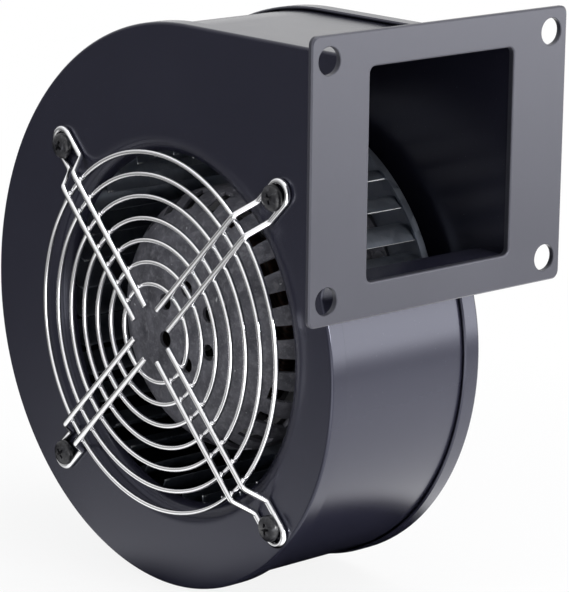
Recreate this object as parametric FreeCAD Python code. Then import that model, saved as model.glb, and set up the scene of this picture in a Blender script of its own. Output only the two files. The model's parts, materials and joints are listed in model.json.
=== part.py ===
import FreeCAD, Part
import math
import os

from FreeCAD import Vector

# A small sheet-metal centrifugal fan with an external-rotor motor inside its wheel.
# Millimetres. The wheel turns about the Y axis, the inlet faces -Y, the outlet faces +X, up is +Z.
# The pieces are drawn with the axle through the origin and the front plate's outer face at y = 0.
# They are then moved together, so that the finished part's origin is the centre of the outlet
# flange's face, between its four fixing holes.

# Sheet casing
casing_depth = 62.6
sheet = 0.8
rim_width = 6.4
rim_gap = 0.6
rim_bend = 1.0
fold_clearance = 0.1
first_strip_gap = 3.0
scroll_growth_across = 11.0
scroll_growth_up = 4.8
scroll_shift = 1.2
scroll_drop = 0.9
outlet_reach = 88.5
outlet_height = 64.9
tongue_radius = 7.5
inlet_lap = 9.0
inlet_bend = 6.5

# Outlet flange
flange_thickness = 2.0
flange_width = 105.0
flange_height = 86.0
flange_corner = 2.5
flange_hole_diameter = 8.4
flange_hole_from_side = 6.8
flange_hole_from_top = 7.5
opening_side_lip = 0.85
opening_top_lip = 0.2
opening_corner = 2.1
opening_rounding = 0.6

# Wire finger guard
guard_arm_count = 4
guard_first_angle = 45.0
guard_ring_count = 7
guard_smallest_ring = 15.9
guard_overlap = 1.2
guard_screw_reach = 15.9
guard_ring_wire = 1.6
guard_arm_wire = 2.0
guard_leg_spacing = 7.8
guard_arm_start = 8.0
guard_loop_slack = 2.0
guard_stand_off = 5.3
guard_step_gap = 1.5
guard_step_length = 6.0
guard_step_bend = 2.5
weld_gap = 0.02

# Guard screws and their nuts
screw_diameter = 4.0
screw_clearance = 0.2
thread_clearance = 0.05
screw_head_diameter = 8.4
screw_head_height = 2.4
recess_length = 4.4
recess_width = 0.9
recess_depth = 1.4
guard_screw_length = 8.0
guard_nut_diameter = 7.0
guard_nut_height = 3.2

# Wheel
wheel_radius = 66.0
wheel_inlet_gap = 0.9
wheel_bracket_gap = 1.6
wheel_sheet = 0.8
wheel_turned_edge = 3.0
front_ring_width = 6.0
blade_count = 36
blade_thickness = 0.5
blade_depth = 10.5
blade_tip_clearance = 0.4
blade_lean = 8.2
blade_turn = 88.0
blade_first_angle = 7.9

# Rotor bell
bell_blade_gap = 6.0
bell_sheet = 1.2
bell_face_radius = 24.0
bell_dome_depth = 20.0
bell_flange_width = 6.0
bell_window_count = 23
bell_window_start = 5.5
bell_window_length = 9.5
bell_window_share = 0.5
bell_window_first_angle = 6.9
bell_hole_diameter = 5.5
bell_hole_circle = 12.5
bell_hole_count = 6
bell_hole_first_angle = 30.0
rivet_count = 6
rivet_first_angle = 30.0
rivet_diameter = 3.0
rivet_head_diameter = 5.0
rivet_head_height = 1.0

# Rotor and stator cores
stack_setback = 0.1
rotor_recess = 4.4
rotor_core_depth = 6.8
air_gap = 0.4
press_gap = 0.05
end_ring_depth = 3.2
end_ring_length = 3.0
stator_slot_count = 12
stator_slot_width = 5.0
stator_yoke = 3.0
stator_mouth_width = 2.2
stator_mouth_depth = 2.0
winding_overhang = 6.5
winding_back_overhang = 4.3
winding_clearance = 0.3
winding_wall = 2.0

# Shaft and bearings
shaft_diameter = 8.0
shaft_fit = 0.02
shaft_end_gap = 0.5
hub_diameter = 17.6
hub_length = 4.9
hub_nose_diameter = 11.2
hub_nose_length = 2.5
bearing_length = 7.0
bearing_diameter = 22.0
bearing_pitch_radius = 7.5
bearing_land = 1.1
ball_count = 7
ball_diameter = 3.6
ball_seat_gap = 0.05
ball_running_gap = 0.3
retaining_ring_length = 0.8
retaining_ring_diameter = 11.6
retaining_groove_depth = 0.4

# Motor bracket
bracket_flange_diameter = 74.0
bracket_flange_thickness = 3.6
bracket_tube_diameter = 26.0
bracket_bore_diameter = 16.0
boss_diameter = 34.0
boss_height = 6.0
rear_bearing_step = 3.6
washer_length = 1.0
washer_width = 2.0
cap_flange_diameter = 30.0
cap_thickness = 1.2
bracket_screw_circle = 30.0
bracket_screw_count = 4
bracket_screw_length = 6.5

# Cable grommet
grommet_radius_from_axle = 24.0
grommet_angle = 0.0
grommet_hole_diameter = 10.0
grommet_bore_diameter = 5.5
grommet_flange_diameter = 13.0
grommet_flange_thickness = 2.0
grommet_inner_flange_thickness = 1.2

# Places that follow from the sizes above
axle = Vector(0, 1, 0)
origin = Vector(0, 0, 0)
plate_back_inner = casing_depth - sheet
strip_radius = wheel_radius + first_strip_gap
inlet_radius = wheel_radius - inlet_lap
blade_inner_radius = wheel_radius - blade_depth
rim_inner_offset = sheet + rim_gap
rim_outer_offset = rim_inner_offset + sheet
bracket_flange_front = plate_back_inner - bracket_flange_thickness
wheel_front = inlet_bend + wheel_inlet_gap
wheel_back = bracket_flange_front - wheel_bracket_gap
disc_front = wheel_back - wheel_sheet
blade_tip_radius = wheel_radius - wheel_sheet - blade_tip_clearance
bell_radius = blade_inner_radius - bell_blade_gap - bell_flange_width
bell_inner_radius = bell_radius - bell_sheet
bell_front = wheel_front
bell_back = disc_front
rotor_core_outer = bell_inner_radius - press_gap
rotor_core_inner = rotor_core_outer - rotor_core_depth
stator_radius = rotor_core_inner - air_gap
stack_front = bell_front + bell_dome_depth + stack_setback
stack_back = bell_back - rotor_recess
stack_length = stack_back - stack_front
stator_slot_bottom = bracket_tube_diameter / 2 + stator_yoke
stator_mouth_bottom = stator_radius - stator_mouth_depth
stator_slot_depth = stator_mouth_bottom - stator_slot_bottom
boss_back = casing_depth + boss_height
rear_bearing_start = boss_back - rear_bearing_step - bearing_length
shaft_front = bell_front + bell_sheet
shaft_back = boss_back - shaft_end_gap
front_bearing_start = shaft_front + hub_length + hub_nose_length
guard_largest_ring = inlet_radius + guard_overlap
guard_screw_circle = guard_largest_ring + guard_screw_reach
guard_step_start = guard_largest_ring + guard_ring_wire / 2 + guard_step_gap
flange_hole_pitch_across = flange_width - 2 * flange_hole_from_side
flange_hole_pitch_up = flange_height - 2 * flange_hole_from_top


def flat_point(x, z, y=0.0):
    return Vector(x, y, z)


def polar_point(centre, radius, degrees, y=0.0):
    turn = math.radians(degrees)
    return Vector(centre[0] + radius * math.cos(turn), y, centre[1] + radius * math.sin(turn))


def line(start, end):
    return Part.LineSegment(start, end).toShape()


def arc(centre, radius, start, end, y=0.0):
    """An arc in a plane across the axle, from one angle to another in degrees."""
    middle = (start + end) / 2
    ends = [polar_point(centre, radius, degrees, y) for degrees in (start, middle, end)]
    return Part.Arc(*ends).toShape()


def tube(outer, inner, front, back, x=0.0, z=0.0):
    """A ring or pipe along Y between two faces; inner 0 makes a plain disc or rod."""
    base = Vector(x, front, z)
    solid = Part.makeCylinder(outer, back - front, base, axle)
    if inner > 0:
        solid = solid.cut(Part.makeCylinder(inner, back - front, base, axle))
    return solid


def turned(profile):
    """A solid of revolution about Y from (radius, y) corners."""
    corners = [flat_point(radius, 0, y) for radius, y in profile]
    wire = Part.makePolygon(corners + [corners[0]])
    return Part.Face(wire).revolve(origin, axle, 360)


def ring_places(radius, count, first_angle=0.0):
    """Points (x, z) evenly spaced on a circle about the axle."""
    places = []
    for index in range(count):
        point = polar_point((0, 0), radius, first_angle + 360.0 * index / count)
        places.append((point.x, point.z))
    return places


def corner_places():
    """The guard's four screw places."""
    return ring_places(guard_screw_circle, guard_arm_count, guard_first_angle)


def cut_holes(solid, places, diameter, front, back):
    for x, z in places:
        solid = solid.cut(tube(diameter / 2, 0, front, back, x, z))
    return solid


def scroll_line(offset, y):
    """Edges of the strip's air side moved outward by offset, from the outlet's top to its floor.

    Four arcs about the corners of a small rectangle, each larger than the one before it.
    """
    near = scroll_shift + scroll_growth_across / 2
    far = scroll_shift - scroll_growth_across / 2
    upper = -scroll_drop + scroll_growth_up / 2
    lower = -scroll_drop - scroll_growth_up / 2
    first = strip_radius + offset
    second = first + scroll_growth_across
    third = second + scroll_growth_up
    fourth = third + scroll_growth_across
    floor, top = duct_heights()
    tongue_bottom = floor - tongue_radius
    reach = strip_radius + tongue_radius
    rise = tongue_bottom - lower
    run = math.sqrt(reach ** 2 - rise ** 2)
    tongue_angle = math.degrees(math.atan2(rise, run))
    tongue_x = near + run
    tongue = (tongue_x, tongue_bottom)
    curl = tongue_radius - offset
    return [
        line(flat_point(outlet_reach, top + offset, y), flat_point(near, top + offset, y)),
        arc((near, upper), fourth, 90, 180, y),
        arc((far, upper), third, 180, 270, y),
        arc((far, lower), second, 270, 360, y),
        arc((near, lower), first, 0, tongue_angle, y),
        arc(tongue, curl, 180 + tongue_angle, 90, y),
        line(flat_point(tongue_x, floor - offset, y), flat_point(outlet_reach, floor - offset, y)),
    ]


def duct_heights():
    """Lowest and highest point of the outlet's inside."""
    upper = -scroll_drop + scroll_growth_up / 2
    top = upper + strip_radius + 2 * scroll_growth_across + scroll_growth_up
    return top - outlet_height, top


def scroll_block(offset, front, back):
    """A solid of the scroll's whole outline at one offset, between two planes."""
    edges = scroll_line(offset, front)
    start = edges[-1].Vertexes[-1].Point
    end = edges[0].Vertexes[0].Point
    wire = Part.Wire(edges + [line(start, end)])
    return Part.Face(wire).extrude(axle * (back - front))


def scroll_band(outer, inner, front, back):
    """The band between two offsets of the scroll, open at the outlet."""
    return scroll_block(outer, front, back).cut(scroll_block(inner, front, back))


def make_scroll_strip():
    strip = scroll_band(sheet, 0, sheet, plate_back_inner)
    lip_edge = rim_inner_offset - fold_clearance
    front_lip = scroll_band(lip_edge, 0, sheet, 2 * sheet)
    back_lip = scroll_band(lip_edge, 0, plate_back_inner - sheet, plate_back_inner)
    return strip.fuse([front_lip, back_lip]).removeSplitter()


def outline_edges(solid, y):
    """The edges at height y that follow the rim, without the straight one at the outlet."""
    found = []
    for edge in solid.Edges:
        box = edge.BoundBox
        at_y = abs(box.YMin - y) < 1e-4 and abs(box.YMax - y) < 1e-4
        across_outlet = box.XMin > outlet_reach - 1e-4
        if at_y and not across_outlet:
            found.append(edge)
    return found


def make_side_plate(outer_face, inner_face, rim_end):
    """A side sheet with its rim turned over the strip; the rim runs from the face to rim_end."""
    low, high = sorted((outer_face, inner_face))
    plate = scroll_block(rim_outer_offset, low, high)
    rim_low, rim_high = sorted((outer_face, rim_end))
    rim = scroll_band(rim_outer_offset, rim_inner_offset, rim_low, rim_high)
    plate = plate.fuse(rim).removeSplitter()
    return plate.makeFillet(rim_bend, outline_edges(plate, outer_face))


def make_bell_mouth():
    """The inlet's rounded lip, pressed inward from the front plate."""
    middle = (inlet_radius + inlet_bend, inlet_bend)
    inner = inlet_bend - sheet

    def bend(radius, degrees):
        turn = math.radians(degrees)
        return flat_point(middle[0] - radius * math.cos(turn), 0, middle[1] - radius * math.sin(turn))

    outer_arc = Part.Arc(bend(inlet_bend, 90), bend(inlet_bend, 45), bend(inlet_bend, 0)).toShape()
    inner_arc = Part.Arc(bend(inner, 0), bend(inner, 45), bend(inner, 90)).toShape()
    lip_end = line(bend(inlet_bend, 0), bend(inner, 0))
    plate_end = line(bend(inner, 90), bend(inlet_bend, 90))
    face = Part.Face(Part.Wire([outer_arc, lip_end, inner_arc, plate_end]))
    return face.revolve(origin, axle, 360)


def make_front_plate():
    plate = make_side_plate(0, sheet, rim_width)
    plate = plate.cut(tube(inlet_radius + inlet_bend, 0, -1, sheet + 1))
    plate = cut_holes(plate, corner_places(), screw_diameter + screw_clearance, -1, sheet + 1)
    return plate.fuse(make_bell_mouth()).removeSplitter()


def make_back_plate():
    plate = make_side_plate(casing_depth, plate_back_inner, casing_depth - rim_width)
    below = plate_back_inner - 1
    above = casing_depth + 1
    plate = plate.cut(tube(boss_diameter / 2 + press_gap, 0, below, above))
    hole = screw_diameter + screw_clearance
    plate = cut_holes(plate, bracket_screw_places(), hole, below, above)
    return cut_holes(plate, grommet_places(), grommet_hole_diameter, below, above)


def rounded_block(width, height, corner, thickness, centre_y, centre_z):
    """A rectangular plate across X with rounded corners, standing on the duct's end."""
    corner_at = Vector(outlet_reach, centre_y - width / 2, centre_z - height / 2)
    block = Part.makeBox(thickness, width, height, corner_at)
    upright = [e for e in block.Edges if abs(e.BoundBox.XLength - thickness) < 1e-6]
    return block.makeFillet(corner, upright)


def flange_centre():
    low, high = duct_heights()
    return casing_depth / 2, (low + high) / 2


def make_outlet_flange():
    centre_y, centre_z = flange_centre()
    plate = rounded_block(flange_width, flange_height, flange_corner, flange_thickness, centre_y, centre_z)
    opening_width = casing_depth - 2 * sheet - 2 * opening_side_lip
    opening_height = outlet_height - 2 * opening_top_lip
    opening = rounded_block(
        opening_width, opening_height, opening_corner, flange_thickness, centre_y, centre_z
    )
    plate = plate.cut(opening)
    face_x = outlet_reach + flange_thickness
    lip_edges = []
    for edge in plate.Edges:
        box = edge.BoundBox
        off_centre = max(abs(box.YMin - centre_y), abs(box.YMax - centre_y))
        on_face = box.XMin > face_x - 1e-4
        if off_centre < opening_width / 2 + 1e-4 and on_face:
            lip_edges.append(edge)
    plate = plate.makeFillet(opening_rounding, lip_edges)
    for side in (-1, 1):
        for up in (-1, 1):
            y = centre_y + side * flange_hole_pitch_across / 2
            z = centre_z + up * flange_hole_pitch_up / 2
            start = Vector(outlet_reach - 1, y, z)
            radius = flange_hole_diameter / 2
            plate = plate.cut(Part.makeCylinder(radius, flange_thickness + 2, start, Vector(1, 0, 0)))
    return plate


def guard_ring_radii():
    step = (guard_largest_ring - guard_smallest_ring) / (guard_ring_count - 1)
    return [guard_smallest_ring + step * index for index in range(guard_ring_count)]


def make_guard_rings():
    centre = Vector(0, -guard_stand_off, 0)
    rings = [Part.makeTorus(radius, guard_ring_wire / 2, centre, axle) for radius in guard_ring_radii()]
    return Part.makeCompound(rings)


def bent_path(points, radius):
    """Edges through the points with every inner corner rounded to the radius."""
    edges = []
    start = points[0]
    for before, corner, after in zip(points, points[1:], points[2:]):
        back = (before - corner).normalize()
        ahead = (after - corner).normalize()
        half_turn = back.getAngle(ahead) / 2
        cut = radius / math.tan(half_turn)
        middle_way = (back + ahead).normalize()
        centre = corner + middle_way * (radius / math.sin(half_turn))
        first = corner + back * cut
        last = corner + ahead * cut
        edges.append(line(start, first))
        edges.append(Part.Arc(first, centre - middle_way * radius, last).toShape())
        start = last
    edges.append(line(start, points[-1]))
    return edges


def guard_arm_heights():
    """Y of the arm's wire over the rings and of its loop on the plate."""
    over_rings = -guard_stand_off - (guard_ring_wire + guard_arm_wire) / 2 - weld_gap
    on_plate = -guard_arm_wire / 2 - weld_gap
    return over_rings, on_plate


def make_guard_arm():
    """One hairpin along +X: two legs over the rings, a step down, and a loop round the screw."""
    over_rings, on_plate = guard_arm_heights()
    reach = guard_screw_circle + guard_loop_slack
    side = guard_leg_spacing / 2
    stations = [
        (guard_arm_start, over_rings),
        (guard_step_start, over_rings),
        (guard_step_start + guard_step_length, on_plate),
        (reach, on_plate),
    ]
    leg_out = [Vector(x, y, side) for x, y in stations]
    leg_back = [Vector(x, y, -side) for x, y in reversed(stations)]
    loop = Part.Arc(leg_out[-1], Vector(reach + side, on_plate, 0), leg_back[0]).toShape()
    path = bent_path(leg_out, guard_step_bend) + [loop] + bent_path(leg_back, guard_step_bend)
    section = Part.Wire(Part.makeCircle(guard_arm_wire / 2, leg_out[0], Vector(1, 0, 0)))
    return Part.Wire(path).makePipeShell([section], True, False)


def make_guard_arms():
    arms = []
    for index in range(guard_arm_count):
        arm = make_guard_arm()
        arm.rotate(origin, axle, -guard_first_angle - 360.0 * index / guard_arm_count)
        arms.append(arm)
    return Part.makeCompound(arms)


def make_pan_screw(length):
    """A cross-recessed pan-head screw along +Y, its head's seat at y = 0."""
    radius = screw_head_diameter / 2
    height = screw_head_height
    # The dome passes through these shares of the head's radius and height.
    corners = [
        flat_point(0, 0, -height),
        flat_point(radius * 0.55, 0, -height * 0.93),
        flat_point(radius * 0.9, 0, -height * 0.62),
        flat_point(radius, 0, -height * 0.2),
    ]
    dome = Part.BSplineCurve()
    dome.interpolate(corners)
    side = line(corners[-1], flat_point(radius, 0, 0))
    seat = line(flat_point(radius, 0, 0), flat_point(0, 0, 0))
    middle = line(flat_point(0, 0, 0), corners[0])
    head = Part.Face(Part.Wire([dome.toShape(), side, seat, middle])).revolve(origin, axle, 360)
    shank = tube(screw_diameter / 2, 0, 0, length)
    screw = head.fuse(shank)
    for long_x, long_z in ((recess_length, recess_width), (recess_width, recess_length)):
        corner = Vector(-long_x / 2, -height - 1, -long_z / 2)
        screw = screw.cut(Part.makeBox(long_x, recess_depth + 1, long_z, corner))
    return screw


def make_guard_screws():
    seat = -guard_arm_wire - 2 * weld_gap
    screws = []
    for x, z in corner_places():
        screw = make_pan_screw(guard_screw_length)
        screw.translate(Vector(x, seat, z))
        screws.append(screw)
    return Part.makeCompound(screws)


def make_guard_nuts():
    bore = screw_diameter / 2 + thread_clearance
    back = sheet + guard_nut_height
    nuts = [tube(guard_nut_diameter / 2, bore, sheet, back, x, z) for x, z in corner_places()]
    return Part.makeCompound(nuts)


def bracket_screw_places():
    return ring_places(bracket_screw_circle, bracket_screw_count, 180.0 / bracket_screw_count)


def grommet_places():
    return ring_places(grommet_radius_from_axle, 1, grommet_angle)


def make_motor_bracket():
    tube_radius = bracket_tube_diameter / 2
    bore = bracket_bore_diameter / 2
    seat = bearing_diameter / 2 + shaft_fit
    bracket = turned(
        [
            (bore, front_bearing_start + bearing_length),
            (seat, front_bearing_start + bearing_length),
            (seat, front_bearing_start),
            (tube_radius, front_bearing_start),
            (tube_radius, bracket_flange_front),
            (bracket_flange_diameter / 2, bracket_flange_front),
            (bracket_flange_diameter / 2, plate_back_inner),
            (boss_diameter / 2, plate_back_inner),
            (boss_diameter / 2, boss_back),
            (seat, boss_back),
            (seat, rear_bearing_start),
            (bore, rear_bearing_start),
        ]
    )
    tapped = screw_diameter + 2 * thread_clearance
    bracket = cut_holes(bracket, bracket_screw_places(), tapped, bracket_flange_front - 1, casing_depth)
    return cut_holes(
        bracket, grommet_places(), grommet_hole_diameter, bracket_flange_front - 1, casing_depth
    )


def make_bracket_screws():
    screws = []
    for x, z in bracket_screw_places():
        screw = make_pan_screw(bracket_screw_length)
        screw.rotate(origin, Vector(1, 0, 0), 180)
        screw.translate(Vector(x, casing_depth, z))
        screws.append(screw)
    return Part.makeCompound(screws)


def slot_cutter():
    """One slot between two stator teeth with its narrow mouth."""
    slot = Part.makeBox(
        stator_slot_depth,
        stack_length,
        stator_slot_width,
        Vector(stator_slot_bottom, stack_front, -stator_slot_width / 2),
    )
    mouth = Part.makeBox(
        stator_mouth_depth + 2,
        stack_length,
        stator_mouth_width,
        Vector(stator_mouth_bottom - 1, stack_front, -stator_mouth_width / 2),
    )
    return slot.fuse(mouth)


def make_stator_core():
    core = tube(stator_radius, bracket_tube_diameter / 2 + shaft_fit, stack_front, stack_back)
    cutters = []
    for index in range(stator_slot_count):
        cutter = slot_cutter()
        cutter.rotate(origin, axle, 360.0 * index / stator_slot_count)
        cutters.append(cutter)
    return core.cut(cutters)


def winding_head(front, back, outer, inner):
    """A rounded bundle of wire round the end of the stator."""
    bundle = tube(outer, inner, front, back)
    rounded = min(winding_wall, (outer - inner) / 3, (back - front) / 3)
    circles = [edge for edge in bundle.Edges if edge.Closed and edge.Curve.TypeId == "Part::GeomCircle"]
    return bundle.makeFillet(rounded, circles)


def make_stator_windings():
    outer = stator_mouth_bottom - winding_clearance
    inner = stator_slot_bottom + winding_clearance
    front_end = stack_front - winding_clearance
    front = winding_head(front_end - winding_overhang, front_end, outer, inner)
    back_start = stack_back + winding_clearance
    back = winding_head(back_start, back_start + winding_back_overhang, outer, inner)
    bars = []
    for index in range(stator_slot_count):
        bar = Part.makeBox(
            outer - inner - 2 * winding_clearance,
            stack_length + 2 * winding_clearance + 2 * winding_wall,
            stator_slot_width - 2 * winding_clearance,
            Vector(
                inner + winding_clearance,
                stack_front - winding_clearance - winding_wall,
                -stator_slot_width / 2 + winding_clearance,
            ),
        )
        bar.rotate(origin, axle, 360.0 * index / stator_slot_count)
        bars.append(bar)
    return front.fuse([back] + bars).removeSplitter()


def bearing_ring(outer, inner, start, groove_diameter):
    ring = tube(outer, inner, start, start + bearing_length)
    middle = Vector(0, start + bearing_length / 2, 0)
    return ring.cut(Part.makeTorus(bearing_pitch_radius, groove_diameter / 2, middle, axle))


def make_bearing_outer_ring(start):
    groove = ball_diameter + 2 * ball_running_gap
    return bearing_ring(bearing_diameter / 2, bearing_pitch_radius + bearing_land, start, groove)


def make_bearing_inner_ring(start):
    groove = ball_diameter + 2 * ball_seat_gap
    bore = shaft_diameter / 2 + shaft_fit
    return bearing_ring(bearing_pitch_radius - bearing_land, bore, start, groove)


def make_bearing_balls(start):
    middle = start + bearing_length / 2
    places = ring_places(bearing_pitch_radius, ball_count)
    balls = [Part.makeSphere(ball_diameter / 2, Vector(x, middle, z)) for x, z in places]
    return Part.makeCompound(balls)


def make_wave_washer():
    start = rear_bearing_start + bearing_length
    outer = bearing_diameter / 2 - press_gap
    return tube(outer, outer - washer_width, start, start + washer_length)


def make_bearing_cap():
    seat = bearing_diameter / 2
    skirt_front = rear_bearing_start + bearing_length + washer_length
    return turned(
        [
            (0, boss_back),
            (seat - washer_width, boss_back),
            (seat - washer_width, skirt_front),
            (seat, skirt_front),
            (seat, boss_back),
            (cap_flange_diameter / 2, boss_back),
            (cap_flange_diameter / 2, boss_back + cap_thickness),
            (0, boss_back + cap_thickness),
        ]
    )


def make_cable_grommet():
    """A rubber spool through the back plate and the bracket's flange."""
    x, z = grommet_places()[0]
    neck = grommet_hole_diameter / 2 - press_gap
    spool = tube(neck, 0, bracket_flange_front, casing_depth, x, z)
    outside = tube(
        grommet_flange_diameter / 2, 0, casing_depth, casing_depth + grommet_flange_thickness, x, z
    )
    rounded = [e for e in outside.Edges if e.Closed and e.BoundBox.YMin > casing_depth + 1e-4]
    outside = outside.makeFillet(grommet_flange_thickness / 2, rounded)
    inside_front = bracket_flange_front - grommet_inner_flange_thickness
    inside = tube(grommet_flange_diameter / 2, 0, inside_front, bracket_flange_front, x, z)
    spool = spool.fuse([outside, inside])
    bore = tube(
        grommet_bore_diameter / 2, 0, inside_front - 1, casing_depth + grommet_flange_thickness + 1, x, z
    )
    return spool.cut(bore)


def bell_profile_edges():
    """Half section of the bell: flat face, dome, side and outward flange at the open end."""
    dome_width = bell_radius - bell_face_radius
    inner_width = dome_width - bell_sheet
    inner_depth = bell_dome_depth - bell_sheet
    dome_back = bell_front + bell_dome_depth

    def dome_edge(width, depth, reverse):
        steps = [0, 22.5, 45, 67.5, 90]
        if reverse:
            steps.reverse()
        points = []
        for step in steps:
            turn = math.radians(step)
            points.append(
                flat_point(bell_face_radius + width * math.sin(turn), 0, dome_back - depth * math.cos(turn))
            )
        curve = Part.BSplineCurve()
        curve.interpolate(points)
        return curve.toShape()

    flange_edge = bell_radius + bell_flange_width
    outer = [
        line(flat_point(0, 0, bell_front), flat_point(bell_face_radius, 0, bell_front)),
        dome_edge(dome_width, bell_dome_depth, False),
        line(flat_point(bell_radius, 0, dome_back), flat_point(bell_radius, 0, bell_back - bell_sheet)),
        line(
            flat_point(bell_radius, 0, bell_back - bell_sheet),
            flat_point(flange_edge, 0, bell_back - bell_sheet),
        ),
        line(flat_point(flange_edge, 0, bell_back - bell_sheet), flat_point(flange_edge, 0, bell_back)),
        line(flat_point(flange_edge, 0, bell_back), flat_point(bell_inner_radius, 0, bell_back)),
    ]
    inner_face = bell_front + bell_sheet
    inner = [
        line(flat_point(bell_inner_radius, 0, bell_back), flat_point(bell_inner_radius, 0, dome_back)),
        dome_edge(inner_width, inner_depth, True),
        line(flat_point(bell_face_radius, 0, inner_face), flat_point(0, 0, inner_face)),
        line(flat_point(0, 0, inner_face), flat_point(0, 0, bell_front)),
    ]
    return outer + inner


def rivet_places():
    return ring_places(bell_radius + bell_flange_width / 2, rivet_count, rivet_first_angle)


def bell_window_cutter():
    """A block through the bell's shoulder, along +X."""
    middle_radius = (bell_face_radius + bell_radius) / 2
    width = 2 * math.pi * middle_radius / bell_window_count * bell_window_share
    corner = Vector(bell_face_radius, bell_front + bell_window_start, -width / 2)
    return Part.makeBox(bell_radius + 1 - bell_face_radius, bell_window_length, width, corner)


def make_rotor_bell():
    """The drawn cup: a domed end with six holes, and a ring of windows round its shoulder."""
    bell = Part.Face(Part.Wire(bell_profile_edges())).revolve(origin, axle, 360)
    holes = ring_places(bell_hole_circle, bell_hole_count, bell_hole_first_angle)
    bell = cut_holes(bell, holes, bell_hole_diameter, bell_front - 1, bell_front + bell_sheet + 1)
    windows = []
    for index in range(bell_window_count):
        window = bell_window_cutter()
        window.rotate(origin, axle, -bell_window_first_angle - 360.0 * index / bell_window_count)
        windows.append(window)
    bell = bell.cut(windows)
    return cut_holes(bell, rivet_places(), rivet_diameter, bell_back - bell_sheet - 1, bell_back + 1)


def make_rotor_hub():
    """The bush behind the bell's face; its nose rests on the front bearing's inner ring."""
    bore = shaft_diameter / 2 + shaft_fit
    return turned(
        [
            (bore, shaft_front),
            (hub_diameter / 2, shaft_front),
            (hub_diameter / 2, shaft_front + hub_length),
            (hub_nose_diameter / 2, shaft_front + hub_length),
            (hub_nose_diameter / 2, front_bearing_start),
            (bore, front_bearing_start),
        ]
    )


def make_rotor_shaft():
    shaft = tube(shaft_diameter / 2, 0, shaft_front, shaft_back)
    start = rear_bearing_start + bearing_length
    groove = tube(
        shaft_diameter, shaft_diameter / 2 - retaining_groove_depth, start, start + retaining_ring_length
    )
    return shaft.cut(groove)


def make_retaining_ring():
    """An open spring ring in the shaft's groove, against the rear bearing's inner ring."""
    start = rear_bearing_start + bearing_length
    inner = shaft_diameter / 2 - retaining_groove_depth + shaft_fit
    ring = tube(retaining_ring_diameter / 2, inner, start, start + retaining_ring_length)
    gap = Part.makeBox(retaining_ring_diameter, retaining_ring_length, inner, Vector(0, start, -inner / 2))
    return ring.cut(gap)


def make_rotor_core():
    return tube(rotor_core_outer, rotor_core_inner, stack_front, stack_back)


def make_rotor_end_rings():
    inner = rotor_core_inner + press_gap
    outer = inner + end_ring_depth
    rings = [
        tube(outer, inner, stack_front - end_ring_length, stack_front),
        tube(outer, inner, stack_back, stack_back + end_ring_length),
    ]
    return Part.makeCompound(rings)


def blade_section(front):
    """A thin circular arc from the wheel's inner to its outer radius, hollow side leading."""
    lean = math.radians(blade_lean)
    inner = Vector(blade_inner_radius, front, 0)
    outer = Vector(blade_tip_radius * math.cos(lean), front, -blade_tip_radius * math.sin(lean))
    chord = outer - inner
    half_turn = math.radians(blade_turn / 2)
    camber_radius = chord.Length / 2 / math.sin(half_turn)
    leading = axle.cross(chord).normalize()
    middle = (inner + outer) * 0.5
    centre = middle + leading * (camber_radius * math.cos(half_turn))
    sides = []
    for radius in (camber_radius - blade_thickness / 2, camber_radius + blade_thickness / 2):
        points = []
        for place in (inner, middle, outer):
            outward = place - centre
            outward.normalize()
            points.append(centre + outward * radius)
        sides.append(points)
    hollow, crown = sides
    edges = [
        Part.Arc(*hollow).toShape(),
        line(hollow[2], crown[2]),
        Part.Arc(*reversed(crown)).toShape(),
        line(crown[0], hollow[0]),
    ]
    return Part.Face(Part.Wire(edges))


def make_impeller_blades():
    front = wheel_front + wheel_sheet
    blades = []
    for index in range(blade_count):
        blade = blade_section(front).extrude(axle * (disc_front - front))
        blade.rotate(origin, axle, -blade_first_angle - 360.0 * index / blade_count)
        blades.append(blade)
    return Part.makeCompound(blades)


def make_impeller_disc():
    inner = bell_inner_radius
    disc = turned(
        [
            (inner, disc_front),
            (wheel_radius - wheel_sheet, disc_front),
            (wheel_radius - wheel_sheet, wheel_back - wheel_turned_edge),
            (wheel_radius, wheel_back - wheel_turned_edge),
            (wheel_radius, wheel_back),
            (inner, wheel_back),
        ]
    )
    return cut_holes(disc, rivet_places(), rivet_diameter, disc_front - 1, wheel_back + 1)


def make_impeller_front_ring():
    inner = wheel_radius - front_ring_width
    return turned(
        [
            (inner, wheel_front),
            (wheel_radius, wheel_front),
            (wheel_radius, wheel_front + wheel_turned_edge),
            (wheel_radius - wheel_sheet, wheel_front + wheel_turned_edge),
            (wheel_radius - wheel_sheet, wheel_front + wheel_sheet),
            (inner, wheel_front + wheel_sheet),
        ]
    )


def make_impeller_rivets():
    front = bell_back - bell_sheet
    rivets = []
    for x, z in rivet_places():
        shank = tube(rivet_diameter / 2 - shaft_fit, 0, front, wheel_back, x, z)
        near = tube(rivet_head_diameter / 2, 0, front - rivet_head_height, front, x, z)
        far = tube(rivet_head_diameter / 2, 0, wheel_back, wheel_back + rivet_head_height, x, z)
        rivets.append(shank.fuse([near, far]).removeSplitter())
    return Part.makeCompound(rivets)


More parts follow.
